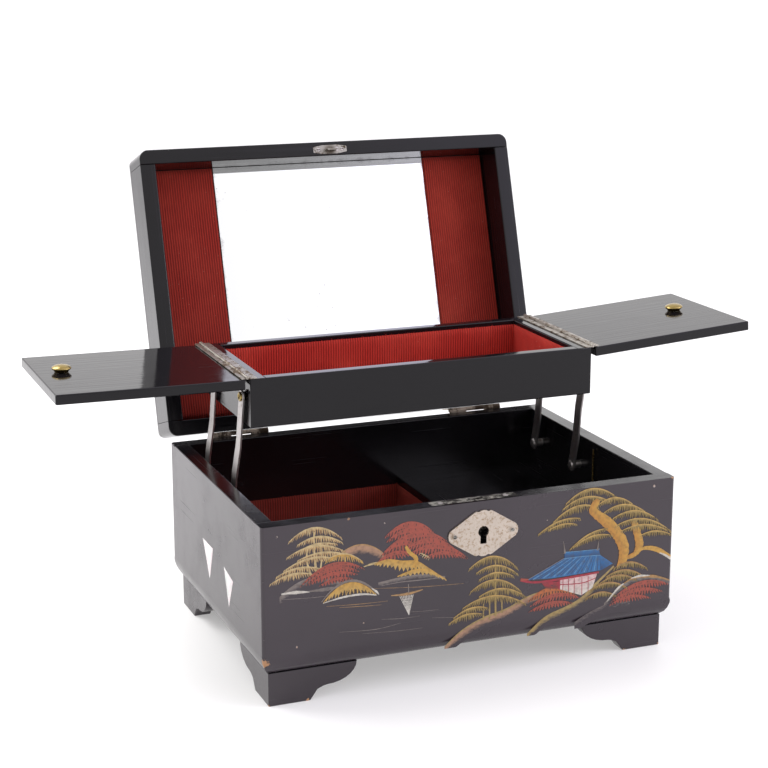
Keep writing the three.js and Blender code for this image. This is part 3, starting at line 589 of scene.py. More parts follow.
def ring_profile(inner, outer, height):
    """A rolled eyelet rim: out over the top and back to where it starts."""
    middle, thick = (inner + outer) / 2, (outer - inner) / 2
    turns = 14
    rim = []
    for k in range(turns + 1):
        angle = math.pi * k / turns
        rim.append((middle + thick * math.cos(angle), height + thick * 0.75 * math.sin(angle)))
    return [(outer, 0.0), *rim, (inner, -2.0 * MM)]


for end in ("front", "rear"):
    for side, way in SIDES:
        rivet = f"tray_rivet_{end}_{side}"
        low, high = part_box(rivet)
        centre = middle_of(rivet)
        centre.x = low.x if way > 0 else high.x
        ring = ring_profile(1.35 * MM, 2.9 * MM, high.x - low.x - 0.55 * MM)
        turned(f"tray_eyelet_{end}_{side}", ring, centre, X * way, BRASS, "tray", "brass", [rivet])

DOME = [(1.0, 0.0), (0.98, 0.22), (0.85, 0.42), (0.6, 0.58), (0.3, 0.66), (0.02, 0.68)]


def nail(name, centre, axis, radius, rise, material, body, groove=None, slot="steel"):
    profile = [(radius * r, rise * h) for r, h in DOME]
    return turned(name, profile, centre, axis, material, body, slot, steps=24, groove=groove)


# Piano hinge nails, along the tray's leaf of each flap's hinge, nearly flush so the flap can fold.
HINGE_NAILS = 5
LEAF_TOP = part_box("tray_left")[1].z + 0.7 * MM  # the leaf lies on the tray's side
NAIL_IN = 1.7 * MM  # from the leaf's inner edge
for side, way in SIDES:
    low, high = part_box(f"flap_hinge_tray_leaf_{side}")
    x = low.x + NAIL_IN if way > 0 else high.x - NAIL_IN
    for k in range(HINGE_NAILS):
        spot = Vector((x, low.y + (high.y - low.y) * (k + 0.5) / HINGE_NAILS, LEAF_TOP))
        nail(f"hinge_nail_{side}_{k + 1}", spot, Z, 0.9 * MM, 0.25 * MM, HINGE_METAL, "tray")

# Screws in both leaves of the back hinges.
LID_TURN = LID_AXES.to_3x3()
for side, way in SIDES:
    low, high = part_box(f"hinge_base_leaf_{side}")
    for k in range(3):
        x = low.x + (high.x - low.x) * (0.2 + 0.3 * k)
        on_base = Vector((x, low.y + 0.75 * MM, low.z + 4.5 * MM))
        on_lid = LID_AXES @ Vector((x, -0.85 * MM, 7.5 * MM))
        for spot, out, body in ((on_base, Y, "base"), (on_lid, LID_TURN @ Y, "lid")):
            name = f"hinge_screw_{body}_{side}_{k + 1}"
            nail(name, spot, out, 1.9 * MM, 0.9 * MM, BACK_HINGE, body, 0.3 * MM)

# Nails through the tips of the escutcheon.
plate_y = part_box("escutcheon")[0].y
for k, spot in enumerate(PLATE_NAILS):
    head = Vector((spot.x, plate_y + 0.1 * MM, spot.z))
    nail(f"escutcheon_nail_{k + 1}", head, -Y, 1.25 * MM, 0.5 * MM, LOCK_STEEL, "base")

# Screws in the lock's face plate, and in the plate that meets it in the lid.
LOCK_SCREW_OUT = 21 * MM
for k, way in enumerate((-1, 1)):
    spot = Vector((way * LOCK_SCREW_OUT, middle_of("lock_body").y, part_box("lock_body")[1].z))
    nail(f"lock_screw_{k + 1}", spot, Z, 1.7 * MM, 0.35 * MM, NICKEL, "base", 0.28 * MM)
catch_low, catch_high = box_in("lid_catch", LID_AXES)
catch_y = (catch_low.y + catch_high.y) / 2
for k, (x, radius) in enumerate(((-8.2, 1.3), (4.6, 1.5), (8.4, 1.3))):
    spot = LID_AXES @ Vector((x * MM, catch_y, -1 * MM))
    nail(f"catch_screw_{k + 1}", spot, LID_TURN @ -Z, radius * MM, 0.5 * MM, NICKEL, "lid", 0.25 * MM)


# ---------- ribbed cloth ----------
RIB = 1.7 * MM
RIB_STEPS = 4
RIB_RISE = 0.42 * MM


class Cloth:
    """One glued lining made of ribbed panels, with its cut edges frayed."""

    def __init__(self):
        self.points, self.faces, self.ribs, self.runs = [], [], [], []
        self.area = 0.0

    def panel(self, corner, across, up, width, height, out, thick, seed):
        """A panel whose ribs run along up, standing out of the wall by thick."""
        columns = max(4, round(width / RIB)) * RIB_STEPS
        rows = max(3, round(height / (2.5 * MM)))
        start = len(self.points)
        self.area += width * height
        for j in range(rows + 1):
            v = height * j / rows
            for i in range(columns + 1):
                u = width * i / columns
                drift = noise.noise(Vector((u * 40, v * 25, seed))) * 0.5
                wave = 0.5 + 0.5 * math.cos(2 * math.pi * (i / RIB_STEPS + 0.12 * drift))
                rim = min(u, width - u, v, height - v) / (0.9 * MM)
                hold = max(0.0, min(1.0, rim)) ** 0.5
                swell = noise.noise(Vector((u * 22, v * 22, seed + 5))) * 0.12 * MM
                stand = (thick - RIB_RISE + RIB_RISE * wave**0.8 + swell) * (0.25 + 0.75 * hold)
                self.points.append(corner + across * u + up * v + out * max(0.1 * MM, stand))
                self.ribs.append(wave)
                self.runs.append((u, v, seed))
        for j in range(rows):
            for i in range(columns):
                a = start + j * (columns + 1) + i
                quad = (a, a + 1, a + columns + 2, a + columns + 1)
                facing = across.cross(up).dot(out) > 0
                self.faces.append(quad if facing else tuple(reversed(quad)))

    def piece(self, name, material, body, *nodes):
        obj = new_piece(name, self.points, self.faces)
        record(obj, "rib", "FLOAT", "value", self.ribs)
        record(obj, "cloth", "FLOAT_VECTOR", "vector", [c for run in self.runs for c in run])
        return finished(obj, material, body, "fabric", *nodes)


def frayed(name, start, end, out, up, count, material, body):
    """Loose threads along a cut edge of cloth."""
    points, faces = [], []
    along = (end - start).normalized()
    for _ in range(count):
        root = start.lerp(end, rng.random()) + out * rng.uniform(0.1, 0.5) * MM
        lean = along * rng.uniform(-0.7, 0.7) + out * rng.uniform(-0.2, 0.35) + up * rng.uniform(0.5, 1.0)
        length = rng.uniform(0.3, 1.2) * MM
        bend = along * rng.uniform(-0.4, 0.4) * MM
        wide = along * 0.055 * MM
        first = len(points)
        for k in range(4):
            t = k / 3
            middle = root + lean * length * t + bend * t * t
            points += [middle - wide * (1 - 0.7 * t), middle + wide * (1 - 0.7 * t)]
        faces += [(first + 2 * k, first + 2 * k + 1, first + 2 * k + 3, first + 2 * k + 2) for k in range(3)]
    obj = new_piece(name, points, faces)
    record(obj, "rib", "FLOAT", "value", [0.9] * len(points))
    return finished(obj, material, body, "fabric")


# The two pads beside the mirror: their ribs run from the lid's hinge side to its free side.
for side, way in SIDES:
    node = f"lid_pad_{side}"
    low, high = box_in(node, LID_AXES)
    cloth = Cloth()
    corner = LID_AXES @ Vector((low.x, low.y, high.z))
    width, height = high.x - low.x, high.y - low.y
    cloth.panel(corner, X, LID_TURN @ Y, width, height, LID_TURN @ -Z, high.z - low.z, 3 + way)
    pad = cloth.piece(f"{node}_cloth", PAD_CLOTH, "lid", node)
    edge_x = high.x if way < 0 else low.x
    start, end = (LID_AXES @ Vector((edge_x, y, high.z)) for y in (low.y, high.y))
    threads = frayed(
        f"{node}_threads", start, end, LID_TURN @ -Z, LID_TURN @ X * -way, 45, PAD_CLOTH, "lid"
    )


LINING = 1.2 * MM  # thickness of a lining


def lined_box(name, node, material, body, seed):
    """Cloth over the floor and four walls of a box, resting on its bottom board."""
    low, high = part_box(node)
    size = high - low
    cloth = Cloth()
    cloth.panel(low, X, Y, size.x, size.y, Z, LINING, seed)
    cloth.panel(low + Y * size.y, X, Z, size.x, size.z, -Y, LINING, seed + 1)
    cloth.panel(low, X, Z, size.x, size.z, Y, LINING, seed + 2)
    cloth.panel(low, Y, Z, size.y, size.z, X, LINING, seed + 3)
    cloth.panel(low + X * size.x, Y, Z, size.y, size.z, -X, LINING, seed + 4)
    obj = cloth.piece(name, material, body, node)
    front_left, back_left, front_right = high - X * size.x - Y * size.y, high - X * size.x, high - Y * size.y
    threads = [
        frayed(f"{name}_threads_{edge}", start, end, out, Z, count, material, body)
        for edge, start, end, out, count in (
            ("back", back_left, high, -Y, 190),
            ("front", front_left, front_right, Y, 150),
            ("right", front_right, high, -X, 80),
            ("left", front_left, back_left, X, 80),
        )
    ]
    return obj


lined_box("tray_lining_cloth", "tray_lining", TRAY_CLOTH, "tray", 20)
lined_box("compartment_lining_cloth", "compartment_lining", WELL_CLOTH, "base", 40)


# ---------- the painting ----------
def tint(red, green, blue):
    """A paint's colour from how it shows, 0 to 255, in the studio's light."""
    level = 0.62
    return tuple(level * (c / 255) ** 2.2 for c in (red, green, blue))


GOLD = tint(214, 176, 104)
PALE_GOLD = tint(224, 198, 146)
DEEP_GOLD = tint(218, 168, 82)
OLIVE = tint(180, 154, 96)
OLIVE_DARK = tint(138, 116, 66)
TAN = tint(190, 148, 96)
RED = tint(178, 84, 68)
RED_DARK = tint(132, 56, 46)
NEAR_BLACK = tint(58, 40, 44)
ROSE_TAN = tint(188, 146, 116)
ORANGE = tint(200, 112, 62)
TRUNK = tint(204, 142, 66)
WHITE = tint(232, 226, 214)
GREY = tint(140, 130, 124)
BLUE = tint(48, 116, 176)
BLUE_DARK = tint(30, 78, 128)
BLUE_PALE = tint(110, 160, 200)
CRIMSON = tint(176, 46, 66)
PINK = tint(238, 196, 196)


def curve_at(a, b, c, d, t):
    """A smooth curve's value a share t of the way from b to c, with a before them and d after."""
    bend = 2 * a - 5 * b + 4 * c - d
    return 0.5 * (2 * b + (c - a) * t + bend * t * t + (3 * b - a - 3 * c + d) * t**3)


def smooth_line(stops, count=10):
    """Points along a smooth curve through stops."""
    padded = [stops[0], *stops, stops[-1]]
    line = []
    for i in range(len(stops) - 1):
        xs, zs = zip(*padded[i : i + 4])
        line += [(curve_at(*xs, k / count), curve_at(*zs, k / count)) for k in range(count)]
    return [*line, stops[-1]]


def over(left, right, rise, t):
    """The point a share t of the way from tip to tip over a hump."""
    x = left[0] + (right[0] - left[0]) * t
    return x, left[1] + (right[1] - left[1]) * t + 4 * rise * t * (1 - t)


def arch(left, right, rise, count=36):
    """Points from tip to tip over a hump."""
    return [over(left, right, rise, k / count) for k in range(count + 1)]


def on_front(x, z, lift):
    """A point lifted off the base's front, which rounds back at its ends."""
    flat = base_high.x - CORNER
    past = min(max(0.0, abs(x) - flat), CORNER * 0.96)
    back = CORNER - math.sqrt(CORNER**2 - past**2)
    held = math.copysign(min(abs(x), flat + past), x)
    return Vector((held, FRONT_Y - lift + back, max(z, base_low.z + 0.7 * MM)))


class Painting:
    """Strokes of paint on the base's front. Each stroke lies a little over the ones before it."""

    lift = 0.03

    def __init__(self):
        self.points, self.faces, self.tints, self.covers = [], [], [], []

    def strip(self, upper, lower, colors, covers, higher=True):
        """Paint between two lines with as many points each."""
        start = len(self.points)
        if higher:
            Painting.lift += 0.0009
        for a, b in zip(upper, lower):
            for (x, z), color, cover in zip((a, b), colors, covers):
                self.points.append(on_front(x * MM, z * MM, self.lift * MM))
                self.tints.append(color)
                self.covers.append(cover)
        for k in range(len(upper) - 1):
            a = start + 2 * k
            self.faces.append((a, a + 1, a + 3, a + 2))

    def line(self, stops, widths, color, cover=1.0, end_color=None):
        """A brush stroke along stops, its width going from the first through to the last of widths."""
        line = smooth_line(stops) if len(stops) > 2 else arch(*stops, 0, 8)
        upper, lower = [], []
        last = len(line) - 1
        for k, (x, z) in enumerate(line):
            before, after = line[max(0, k - 1)], line[min(last, k + 1)]
            dx, dz = after[0] - before[0], after[1] - before[1]
            length = math.hypot(dx, dz) or 1
            place = k / last * (len(widths) - 1)
            i = min(int(place), len(widths) - 2)
            half = (widths[i] + (widths[i + 1] - widths[i]) * (place - i)) / 2 * rng.uniform(0.9, 1.1)
            upper.append((x - dz / length * half, z + dx / length * half))
            lower.append((x + dz / length * half, z - dx / length * half))
        self.strip(upper, lower, (color, end_color or color), (cover, cover))

    def toothed(self, upper, depth, color, under, cover=1.0):
        """Leaves: smooth along upper, ragged below, spreading outwards."""
        lower = []
        last = len(upper) - 1
        for k, (x, z) in enumerate(upper):
            t = k / last
            body = max(0.12, math.sin(math.pi * t)) ** 0.7
            bite = rng.uniform(0.95, 1.2) if k % 2 else rng.uniform(0.45, 0.7)
            drop = depth * body * bite
            lower.append((x + (t - 0.5) * 1.1 * drop, z - drop))
        self.strip(upper, lower, (color, under), (cover, cover * 0.85))

    def comb(self, left, right, rise, length, pitch, width, color, cover=1.0):
        """Separate short strokes hanging from a hump, fanning out to both sides."""
        count = max(4, round(math.dist(left, right) / pitch))
        Painting.lift += 0.0009
        for k in range(count):
            t = (k + 0.5 + rng.uniform(-0.2, 0.2)) / count
            x, z = over(left, right, rise, t)
            reach = length * (0.45 + 0.55 * math.sin(math.pi * t)) * rng.uniform(0.75, 1.2)
            lean = (t - 0.5) * 1.3 * reach
            half = width / 2 * rng.uniform(0.8, 1.25)
            upper = [(x - half, z + 0.2), (x + lean * 0.5 - half * 0.7, z - reach * 0.55)]
            lower = [(x + half, z + 0.2), (x + lean * 0.5 + half * 0.7, z - reach * 0.55)]
            tip = (x + lean, z - reach)
            self.strip([*upper, tip], [*lower, tip], (color, color), (cover, cover), higher=False)

    def frond(self, left, right, rise, depth, color, under, edge):
        """A tier of needles: a thin crescent, two rows of needles and a bright line on its crown."""
        span = math.dist(left, right)
        crown = arch(left, right, rise, max(10, round(span / 0.9)))
        self.toothed(crown, depth * 0.5, color, under)
        self.comb(left, right, rise - 0.3, depth * 1.2, 1.35, 0.75, color)
        self.comb(left, right, rise - depth * 0.4, depth * 0.9, 1.25, 0.5, under, 0.9)
        self.line(crown[:: max(1, len(crown) // 8)], (0.3, 0.8, 0.3), edge)

    def leaves(self, left, right, rise, depth, color, dark):
        """A solid tier of leaves with a row of dark ticks along its lower edge."""
        crown = arch(left, right, rise, max(10, round(math.dist(left, right) / 0.9)))
        self.toothed(crown, depth * 1.15, color, color, 1.1)
        self.comb(left, right, rise - depth * 0.58, depth * 0.5, 1.9, 0.75, dark, 0.95)
        self.comb(left, right, rise - depth * 0.22, depth * 0.2, 4.2, 0.5, dark, 0.7)

    def tiers(self, draw, rows, *colors):
        """Draws a frond or leaves for each row: left tip, right tip, rise and depth."""
        for row in rows:
            draw(*row, *colors)

    def hill(self, crown, depth, color, cover=1.0):
        """A slope that shows along its crown and fades out below it."""
        middle = [(x, z - depth * 0.35) for x, z in crown]
        foot = [(x, z - depth) for x, z in crown]
        self.strip(crown, middle, (color, color), (cover, cover * 0.55))
        self.strip(middle, foot, (color, color), (cover * 0.55, -0.2), higher=False)

    def piece(self, name, material):
        obj = new_piece(name, self.points, self.faces, smooth=False)
        record(obj, "tint", "FLOAT_COLOR", "color", [c for color in self.tints for c in (*color, 1.0)])
        record(obj, "cover", "FLOAT", "value", self.covers)
        return finished(obj, material, "base", "lacquer")


PAINT = paint("paint", 0.14, 0.05)
WASH = paint("paint_wash", 0.30, 0.05)
GOLD_PAINT = paint("gold_paint", 0.14, 0.25)

# Far shore: hills, their shading and the water.
ground = Painting()
ground.hill(arch((-122, 68), (-84, 71.5), 7.5), 8, GREY, 0.85)
ground.hill(arch((-85, 89), (-57, 84), 6), 8, ROSE_TAN, 1.15)
ground.line(arch((-85, 89.2), (-57, 84.2), 6, 8), (0.3, 0.8, 0.3), TAN)
ground.line([(-121, 69.6), (-112, 69.4), (-104, 68.6)], (0.5, 2.1, 0.4), WHITE)
ground.line([(-104, 69.0), (-94, 68.8), (-86, 69.4)], (0.6, 2.4, 0.5), GREY, 0.6)
ground.hill(smooth_line([(-62, 68.5), (-50, 69.8), (-38, 70.2), (-28, 68.8), (-20, 66.6)]), 4.4, GREY, 0.9)
ground.line([(-60, 66.3), (-48, 66.9), (-34, 66.4), (-21, 66.2)], (0.3, 0.6, 0.3), GREY, 0.8)
for stops, thick, color in (
    ([(-66, 65.4), (-35, 62.2), (-8, 60.6)], 0.35, TAN),
    ([(-122, 66.4), (-104, 65.0), (-90, 64.6)], 0.4, GREY),
    ([(-94, 58.4), (-74, 57.0), (-56, 56.4)], 0.4, TAN),
    ([(-86, 56.6), (-72, 55.4), (-60, 54.6)], 0.4, TAN),
    ([(-42, 47.6), (-32, 46.8), (-24, 46.6)], 0.35, GREY),
    ([(-60, 45.6), (-48, 44.4), (-36, 44.2)], 0.4, GREY),
    ([(-86, 41.5), (-64, 40.0), (-48, 41.6)], 0.45, GREY),
    ([(-72, 38.5), (-50, 37.0), (-34, 36.6)], 0.3, GREY),
    ([(-28, 42.0), (-14, 40.2), (-6, 39.9)], 0.35, GREY),
):
    ground.line(stops, (0.15, thick, 0.15), color, 0.62)
ground.piece("painting_shores", WASH)

near_slopes = Painting()
SLOPE = [(-20, 22.5), (-9, 31), (5, 37), (20, 40.5), (33, 46), (43, 48.5)]
near_slopes.hill(smooth_line(SLOPE), 7.5, ROSE_TAN, 1.15)
near_slopes.line(SLOPE, (0.3, 0.9, 1.2, 0.8, 0.5), OLIVE)
RIDGE = [(34, 22.5), (46, 31.5), (61, 36.5), (71, 41), (82, 50), (92, 58)]
near_slopes.hill(smooth_line(RIDGE[:5]), 6, OLIVE, 0.95)
near_slopes.line(RIDGE, (0.3, 1.1, 1.0, 1.6, 1.2), OLIVE)
near_slopes.hill(smooth_line([(66, 25.5), (76, 30.5), (90, 34.5), (104, 34)]), 7, GREY, 0.5)
near_slopes.hill(smooth_line([(86, 35), (95, 43), (107, 48.2), (120, 47.6), (131, 43.6)]), 6, GREY, 0.75)

boat = Painting()
boat.line([(-54, 59.4), (-44, 59.0), (-34, 60.4)], (0.5, 1.7, 0.4), TAN)
boat.line([(-43.2, 65), (-43, 59.5)], (0.45, 0.6), GREY)
SAIL_FOOT = (-42.8, 45.8)
for k in range(9):
    top = -48.6 + k * 1.05
    boat.line([(top, 58.2), SAIL_FOOT], (0.45, 0.2), WHITE, 0.8)
for k in range(5):
    z = 57.4 - 1.5 * k
    share = (z - SAIL_FOOT[1]) / (58.2 - SAIL_FOOT[1])
    left, right = SAIL_FOOT[0] - 5.8 * share, SAIL_FOOT[0] + 2.8 * share
    boat.line([(left, z), (right, z)], (0.3, 0.3), WHITE, 0.6)
boat.piece("painting_boat", PAINT)

# The tree on the left: tiers of pale gold over three thin trunks.
pine = Painting()
for stops, widths in (
    ([(-101, 104), (-100.8, 90), (-99.5, 76)], (0.9, 1.2, 1.6)),
    ([(-105.4, 95), (-105.2, 86), (-102.4, 76.5)], (0.9, 1.1, 1.3)),
    ([(-96.6, 92), (-96.8, 85), (-98, 78)], (0.7, 0.9, 1.1)),
):
    pine.line(stops, widths, PALE_GOLD)
LEFT_PINE = (
    ((-116, 100), (-84.5, 98.5), 7.4, 3.6),
    ((-111, 97.4), (-84, 95.6), 4.6, 3.2),
    ((-109.5, 94.2), (-87, 95.0), 2.4, 2.6),
    ((-117.5, 90.6), (-82, 90.0), 5.6, 3.4),
    ((-111, 88.2), (-80, 87.4), 3.6, 3.0),
    ((-119.5, 83.0), (-88, 86.6), 4.0, 3.2),
    ((-124, 80.0), (-97, 81.6), 3.2, 3.0),
    ((-127.5, 76.2), (-101, 78.6), 3.4, 3.2),
)
pine.tiers(pine.frond, LEFT_PINE, PALE_GOLD, TAN, PALE_GOLD)
pine.frond((-94, 86), (-71.5, 82.4), 4.6, 4.2, DEEP_GOLD, GOLD, PALE_GOLD)
pine.piece("painting_left_pine", GOLD_PAINT)

shrubs = Painting()
RED_LEAVES = (
    ((-109.5, 72.8), (-71, 78.4), 8.6, 4.8),
    ((-106, 73.2), (-74, 77.2), 6.4, 4.2),
    ((-104, 73.2), (-75, 75.6), 4.2, 3.8),
    ((-98, 71.6), (-78, 73.2), 2.8, 3.2),
    ((-57.5, 96.0), (-28, 95.6), 7.4, 6.6),
    ((-56.5, 93.2), (-25, 92.4), 7.0, 6.4),
    ((-54.5, 90.2), (-19.5, 89.0), 6.8, 6.4),
    ((-60.5, 84.4), (-37, 87.4), 6.4, 6.0),
    ((-63.5, 80.4), (-41, 83.4), 4.4, 4.6),
    ((-45, 86.6), (-13, 82.0), 7.4, 6.2),
    ((-43, 83.4), (-6, 76.6), 7.4, 6.0),
    ((-33, 80.2), (-7.0, 76.2), 4.0, 3.8),
)
shrubs.tiers(shrubs.leaves, RED_LEAVES, RED, NEAR_BLACK)
shrubs.piece("painting_red_leaves", PAINT)

near_land = Painting()
near_land.line(arch((-97, 61.4), (-62, 61.4), 10.6, 8), (0.5, 1.6, 0.8), GREY, 0.8)
near_land.toothed(arch((-95.5, 61.6), (-63.5, 61.8), 9.4, 34), 7.6, DEEP_GOLD, GOLD)
near_land.comb((-91, 60.6), (-66, 61), 5.6, 2.6, 1.5, 0.55, NEAR_BLACK, 0.9)
near_land.line([(-96, 60.6), (-84, 62.6), (-72, 62.8), (-63, 61)], (0.3, 1.2, 1.2, 0.5), WHITE, 0.75)
near_land.line([(-66, 65.5), (-63.4, 63.4), (-61.6, 61.2)], (0.4, 1.3, 0.4), WHITE)
near_land.line([(-71, 79.4), (-66, 80.4), (-61, 80.8)], (0.4, 1.4, 0.8), PALE_GOLD, 0.8)
BANK = [(-64, 80.6), (-56, 82), (-47, 80), (-38, 78.6), (-30, 73), (-19.5, 64.8)]
near_land.toothed(smooth_line(BANK, 8), 6.2, DEEP_GOLD, GOLD)
near_land.toothed(smooth_line([(-50, 71), (-40, 73.6), (-31, 72.4), (-20, 65.6)], 8), 3.8, DEEP_GOLD, GOLD)
near_land.line([(-45, 88.4), (-42.6, 84.4), (-38.6, 80.2), (-39.6, 74.6)], (1.6, 2.2, 2.6, 3.0), DEEP_GOLD)
for k in range(4):
    x, z = -35.5 + 1.2 * k, 81.4 - 0.7 * k
    swirl = [(x + 1.6 * math.cos(a), z + 1.5 * math.sin(a)) for a in (2.6, 1.7, 0.8, -0.1, -1.0)]
    near_land.line(swirl, (0.2, 0.45, 0.2), PALE_GOLD, 0.85)
near_land.piece("painting_gold_shore", GOLD_PAINT)

middle_pine = Painting()
for stops, widths in (
    ([(12.4, 74), (12.6, 54), (13, 37)], (0.9, 1.1, 1.3)),
    ([(8.8, 53), (9, 44), (9, 35.5)], (0.7, 0.9, 1.0)),
    ([(5, 46), (5, 41), (5, 36)], (0.6, 0.8, 0.9)),
    ([(17, 49), (17, 44), (17.2, 38.5)], (0.6, 0.8, 0.9)),
):
    middle_pine.line(stops, widths, OLIVE)
MIDDLE_PINE = (
    ((-4.5, 69.0), (27, 65.4), 7.8, 4.4),
    ((0, 65.8), (27.5, 61.4), 5.4, 3.6),
    ((2, 61.4), (24.5, 60.6), 3.6, 3.2),
    ((-3.5, 54.6), (29.5, 50.4), 7.6, 4.2),
    ((2, 50.8), (33, 46.4), 5.4, 3.6),
    ((-8.5, 45.0), (32.5, 42.2), 6.6, 4.0),
    ((-14.5, 39.6), (8, 43.0), 3.2, 3.2),
    ((-17.5, 36.4), (5.5, 39.4), 3.0, 3.2),
)
middle_pine.tiers(middle_pine.frond, MIDDLE_PINE, OLIVE, OLIVE_DARK, GOLD)
middle_pine.piece("painting_middle_pine", GOLD_PAINT)
near_slopes.piece("painting_near_slopes", WASH)

near_shrubs = Painting()
near_shrubs.leaves((34.5, 43.6), (66.5, 43.0), 7.4, 5.6, ORANGE, NEAR_BLACK)
NEAR_SHRUBS = (
    ((36, 40.4), (69, 41.0), 5.4, 4.4),
    ((35, 36.8), (64, 38.4), 3.6, 3.8),
    ((92, 37.6), (130, 41.8), 6.2, 5.0),
    ((91, 35.6), (126, 37.6), 5.0, 4.4),
    ((90, 33.4), (118, 34.2), 4.0, 3.6),
)
near_shrubs.tiers(near_shrubs.leaves, NEAR_SHRUBS, RED, NEAR_BLACK)
near_shrubs.piece("painting_near_shrubs", PAINT)

# The pavilion: a tiled roof with two finials over a latticed wall.
house = Painting()
house.strip([(43, 54), (55, 53.4)], [(46, 50), (55, 48.6)], (CRIMSON, RED_DARK), (0.7, 0.5))
wall_top, wall_foot = [(55, 54.2), (70, 54.4), (80.5, 55)], [(55, 48.4), (70, 42.4), (77.5, 46)]
house.strip(wall_top, wall_foot, (PINK, WHITE), (1.1, 1.0))
for top, foot in (
    (57.4, (57.4, 47.6)),
    (61.2, (61.2, 46.0)),
    (65.0, (65.2, 44.4)),
    (70.2, (70.4, 42.4)),
    (74.4, (74.6, 44.4)),
):
    house.line([(top, 54), foot], (0.5, 0.5), CRIMSON)
house.line([(55, 51.2), (70.2, 50.2), (79.6, 52.2)], (0.6, 0.6), CRIMSON)
house.line([(55, 54), (55, 48.2)], (1.1, 1.1), CRIMSON)
house.line([(29, 57.4), (43, 54.6), (81.6, 55.6)], (1.2, 1.5, 1.3), CRIMSON)
house.line([(29, 57.9), (35, 57.2)], (1.8, 0.8), RED)
roof_top = [(57.5, 67.6), (66, 67.4), (74, 67.0), (82.4, 66.4)]
roof_foot = [(34, 57.2), (50, 56.0), (66, 56.2), (83, 56.8)]
house.strip(roof_top, roof_foot, (BLUE, BLUE), (1.1, 1.1))
house.strip([(82.4, 66.4), (91, 60)], [(83, 56.8), (84, 57)], (BLUE, BLUE_DARK), (1.1, 1.1))
for k in range(22):
    share = (k + 0.5) / 22
    top_x, foot_x = 57.5 + 25 * share, 34 + 50 * share
    color = (BLUE_DARK, BLUE_PALE, BLUE_DARK)[k % 3]
    house.line([(top_x, 67.2 - share), (foot_x, 56.9)], (0.25, 0.55), color, 0.62)
ridge_top, ridge_foot = [(58, 71.2), (70, 70.6), (81.2, 70.2)], [(58, 67.6), (70, 67.4), (82.2, 66.6)]
house.strip(ridge_top, ridge_foot, (BLUE, BLUE_DARK), (1, 1))
house.line([(57.6, 67.4), (70, 67.2), (82.4, 66.4)], (0.4, 0.4), BLUE_PALE, 0.9)
house.line([(57.8, 71.4), (70, 70.8), (81.6, 70.4)], (0.4, 0.4), BLUE_PALE, 0.7)
house.line([(34, 57.4), (57.5, 67.6)], (0.4, 0.4), GREY, 0.7)
house.line([(57, 78.4), (57.8, 74), (58.2, 70.6)], (0.2, 0.7, 1.6), GREY)
house.line([(80.8, 75.8), (80.6, 73), (80.2, 69.8)], (0.2, 0.7, 1.5), GREY)
house.piece("painting_pavilion", PAINT)

# The great pine on the right, its trunks and the undergrowth below it.
great = Painting()
NEEDLES = (
    ((58, 101.6), (92, 102.2), 7.4, 3.8),
    ((56, 98.4), (88, 99.6), 5.6, 3.6),
    ((50, 91.2), (80, 96.8), 5.4, 3.6),
    ((40, 84.6), (68, 91.6), 3.4, 3.0),
    ((47, 86.6), (66, 88.0), 2.0, 2.4),
    ((79, 98.0), (105, 94.8), 5.4, 3.6),
    ((84, 93.2), (115, 88.0), 6.0, 3.6),
    ((90, 88.6), (121.5, 84.0), 5.6, 3.6),
    ((92, 83.6), (131, 75.4), 6.6, 3.6),
    ((96, 80.0), (128, 76.6), 4.0, 3.2),
    ((109, 75.4), (131, 73.4), 2.8, 2.6),
    ((61.5, 72.6), (87, 83.0), 3.0, 2.8),
    ((64, 73.6), (90, 78.0), 3.6, 3.0),
)
great.tiers(great.frond, NEEDLES[:6], OLIVE, OLIVE_DARK, GOLD)  # behind the trunks
for stops, widths in (
    ([(80, 102), (76.6, 95.5), (86, 87), (94, 78), (98.4, 68), (96.8, 57.5)], (3.0, 5.4, 6.6, 7.4, 7.0, 5.8)),
    ([(104, 87), (107, 78), (109, 70), (106.4, 64.4), (100.4, 62.4)], (3.2, 5.0, 5.6, 3.6, 2.2)),
):
    great.line(stops, widths, DEEP_GOLD, 1.2, TRUNK)
great.line([(106, 64.4), (112, 67), (121, 65.2), (131.4, 58.8)], (1.8, 2.2, 3.2, 2.0), DEEP_GOLD)
great.line([(123.4, 62.6), (127.6, 60.4), (131.6, 57.6)], (0.6, 1.3, 1.4), WHITE)
great.tiers(great.frond, NEEDLES[6:], OLIVE, OLIVE_DARK, GOLD)
UNDERGROWTH = (
    ((91.5, 56.4), (115, 53.6), 4.4, 3.4),
    ((86.5, 51.8), (113, 48.6), 4.6, 3.4),
    ((81.5, 47.6), (108, 47.2), 4.6, 3.4),
    ((76.5, 44.6), (101, 43.2), 4.2, 3.2),
    ((73, 39.6), (94, 38.8), 3.4, 3.0),
)
great.tiers(great.frond, UNDERGROWTH, OLIVE, OLIVE_DARK, TAN)
great.line([(87.5, 35.6), (94.6, 43), (99, 46)], (0.4, 1.5, 0.7), WHITE)
great.line([(99, 46), (107, 48.8), (120, 47.8), (131.6, 43.6)], (0.6, 1.4, 1.8, 0.6), TAN, 0.9)
great.line([(104, 48.6), (110, 49.4), (117, 48.8)], (0.4, 1.5, 0.5), WHITE)
great.piece("painting_great_pine", GOLD_PAINT)

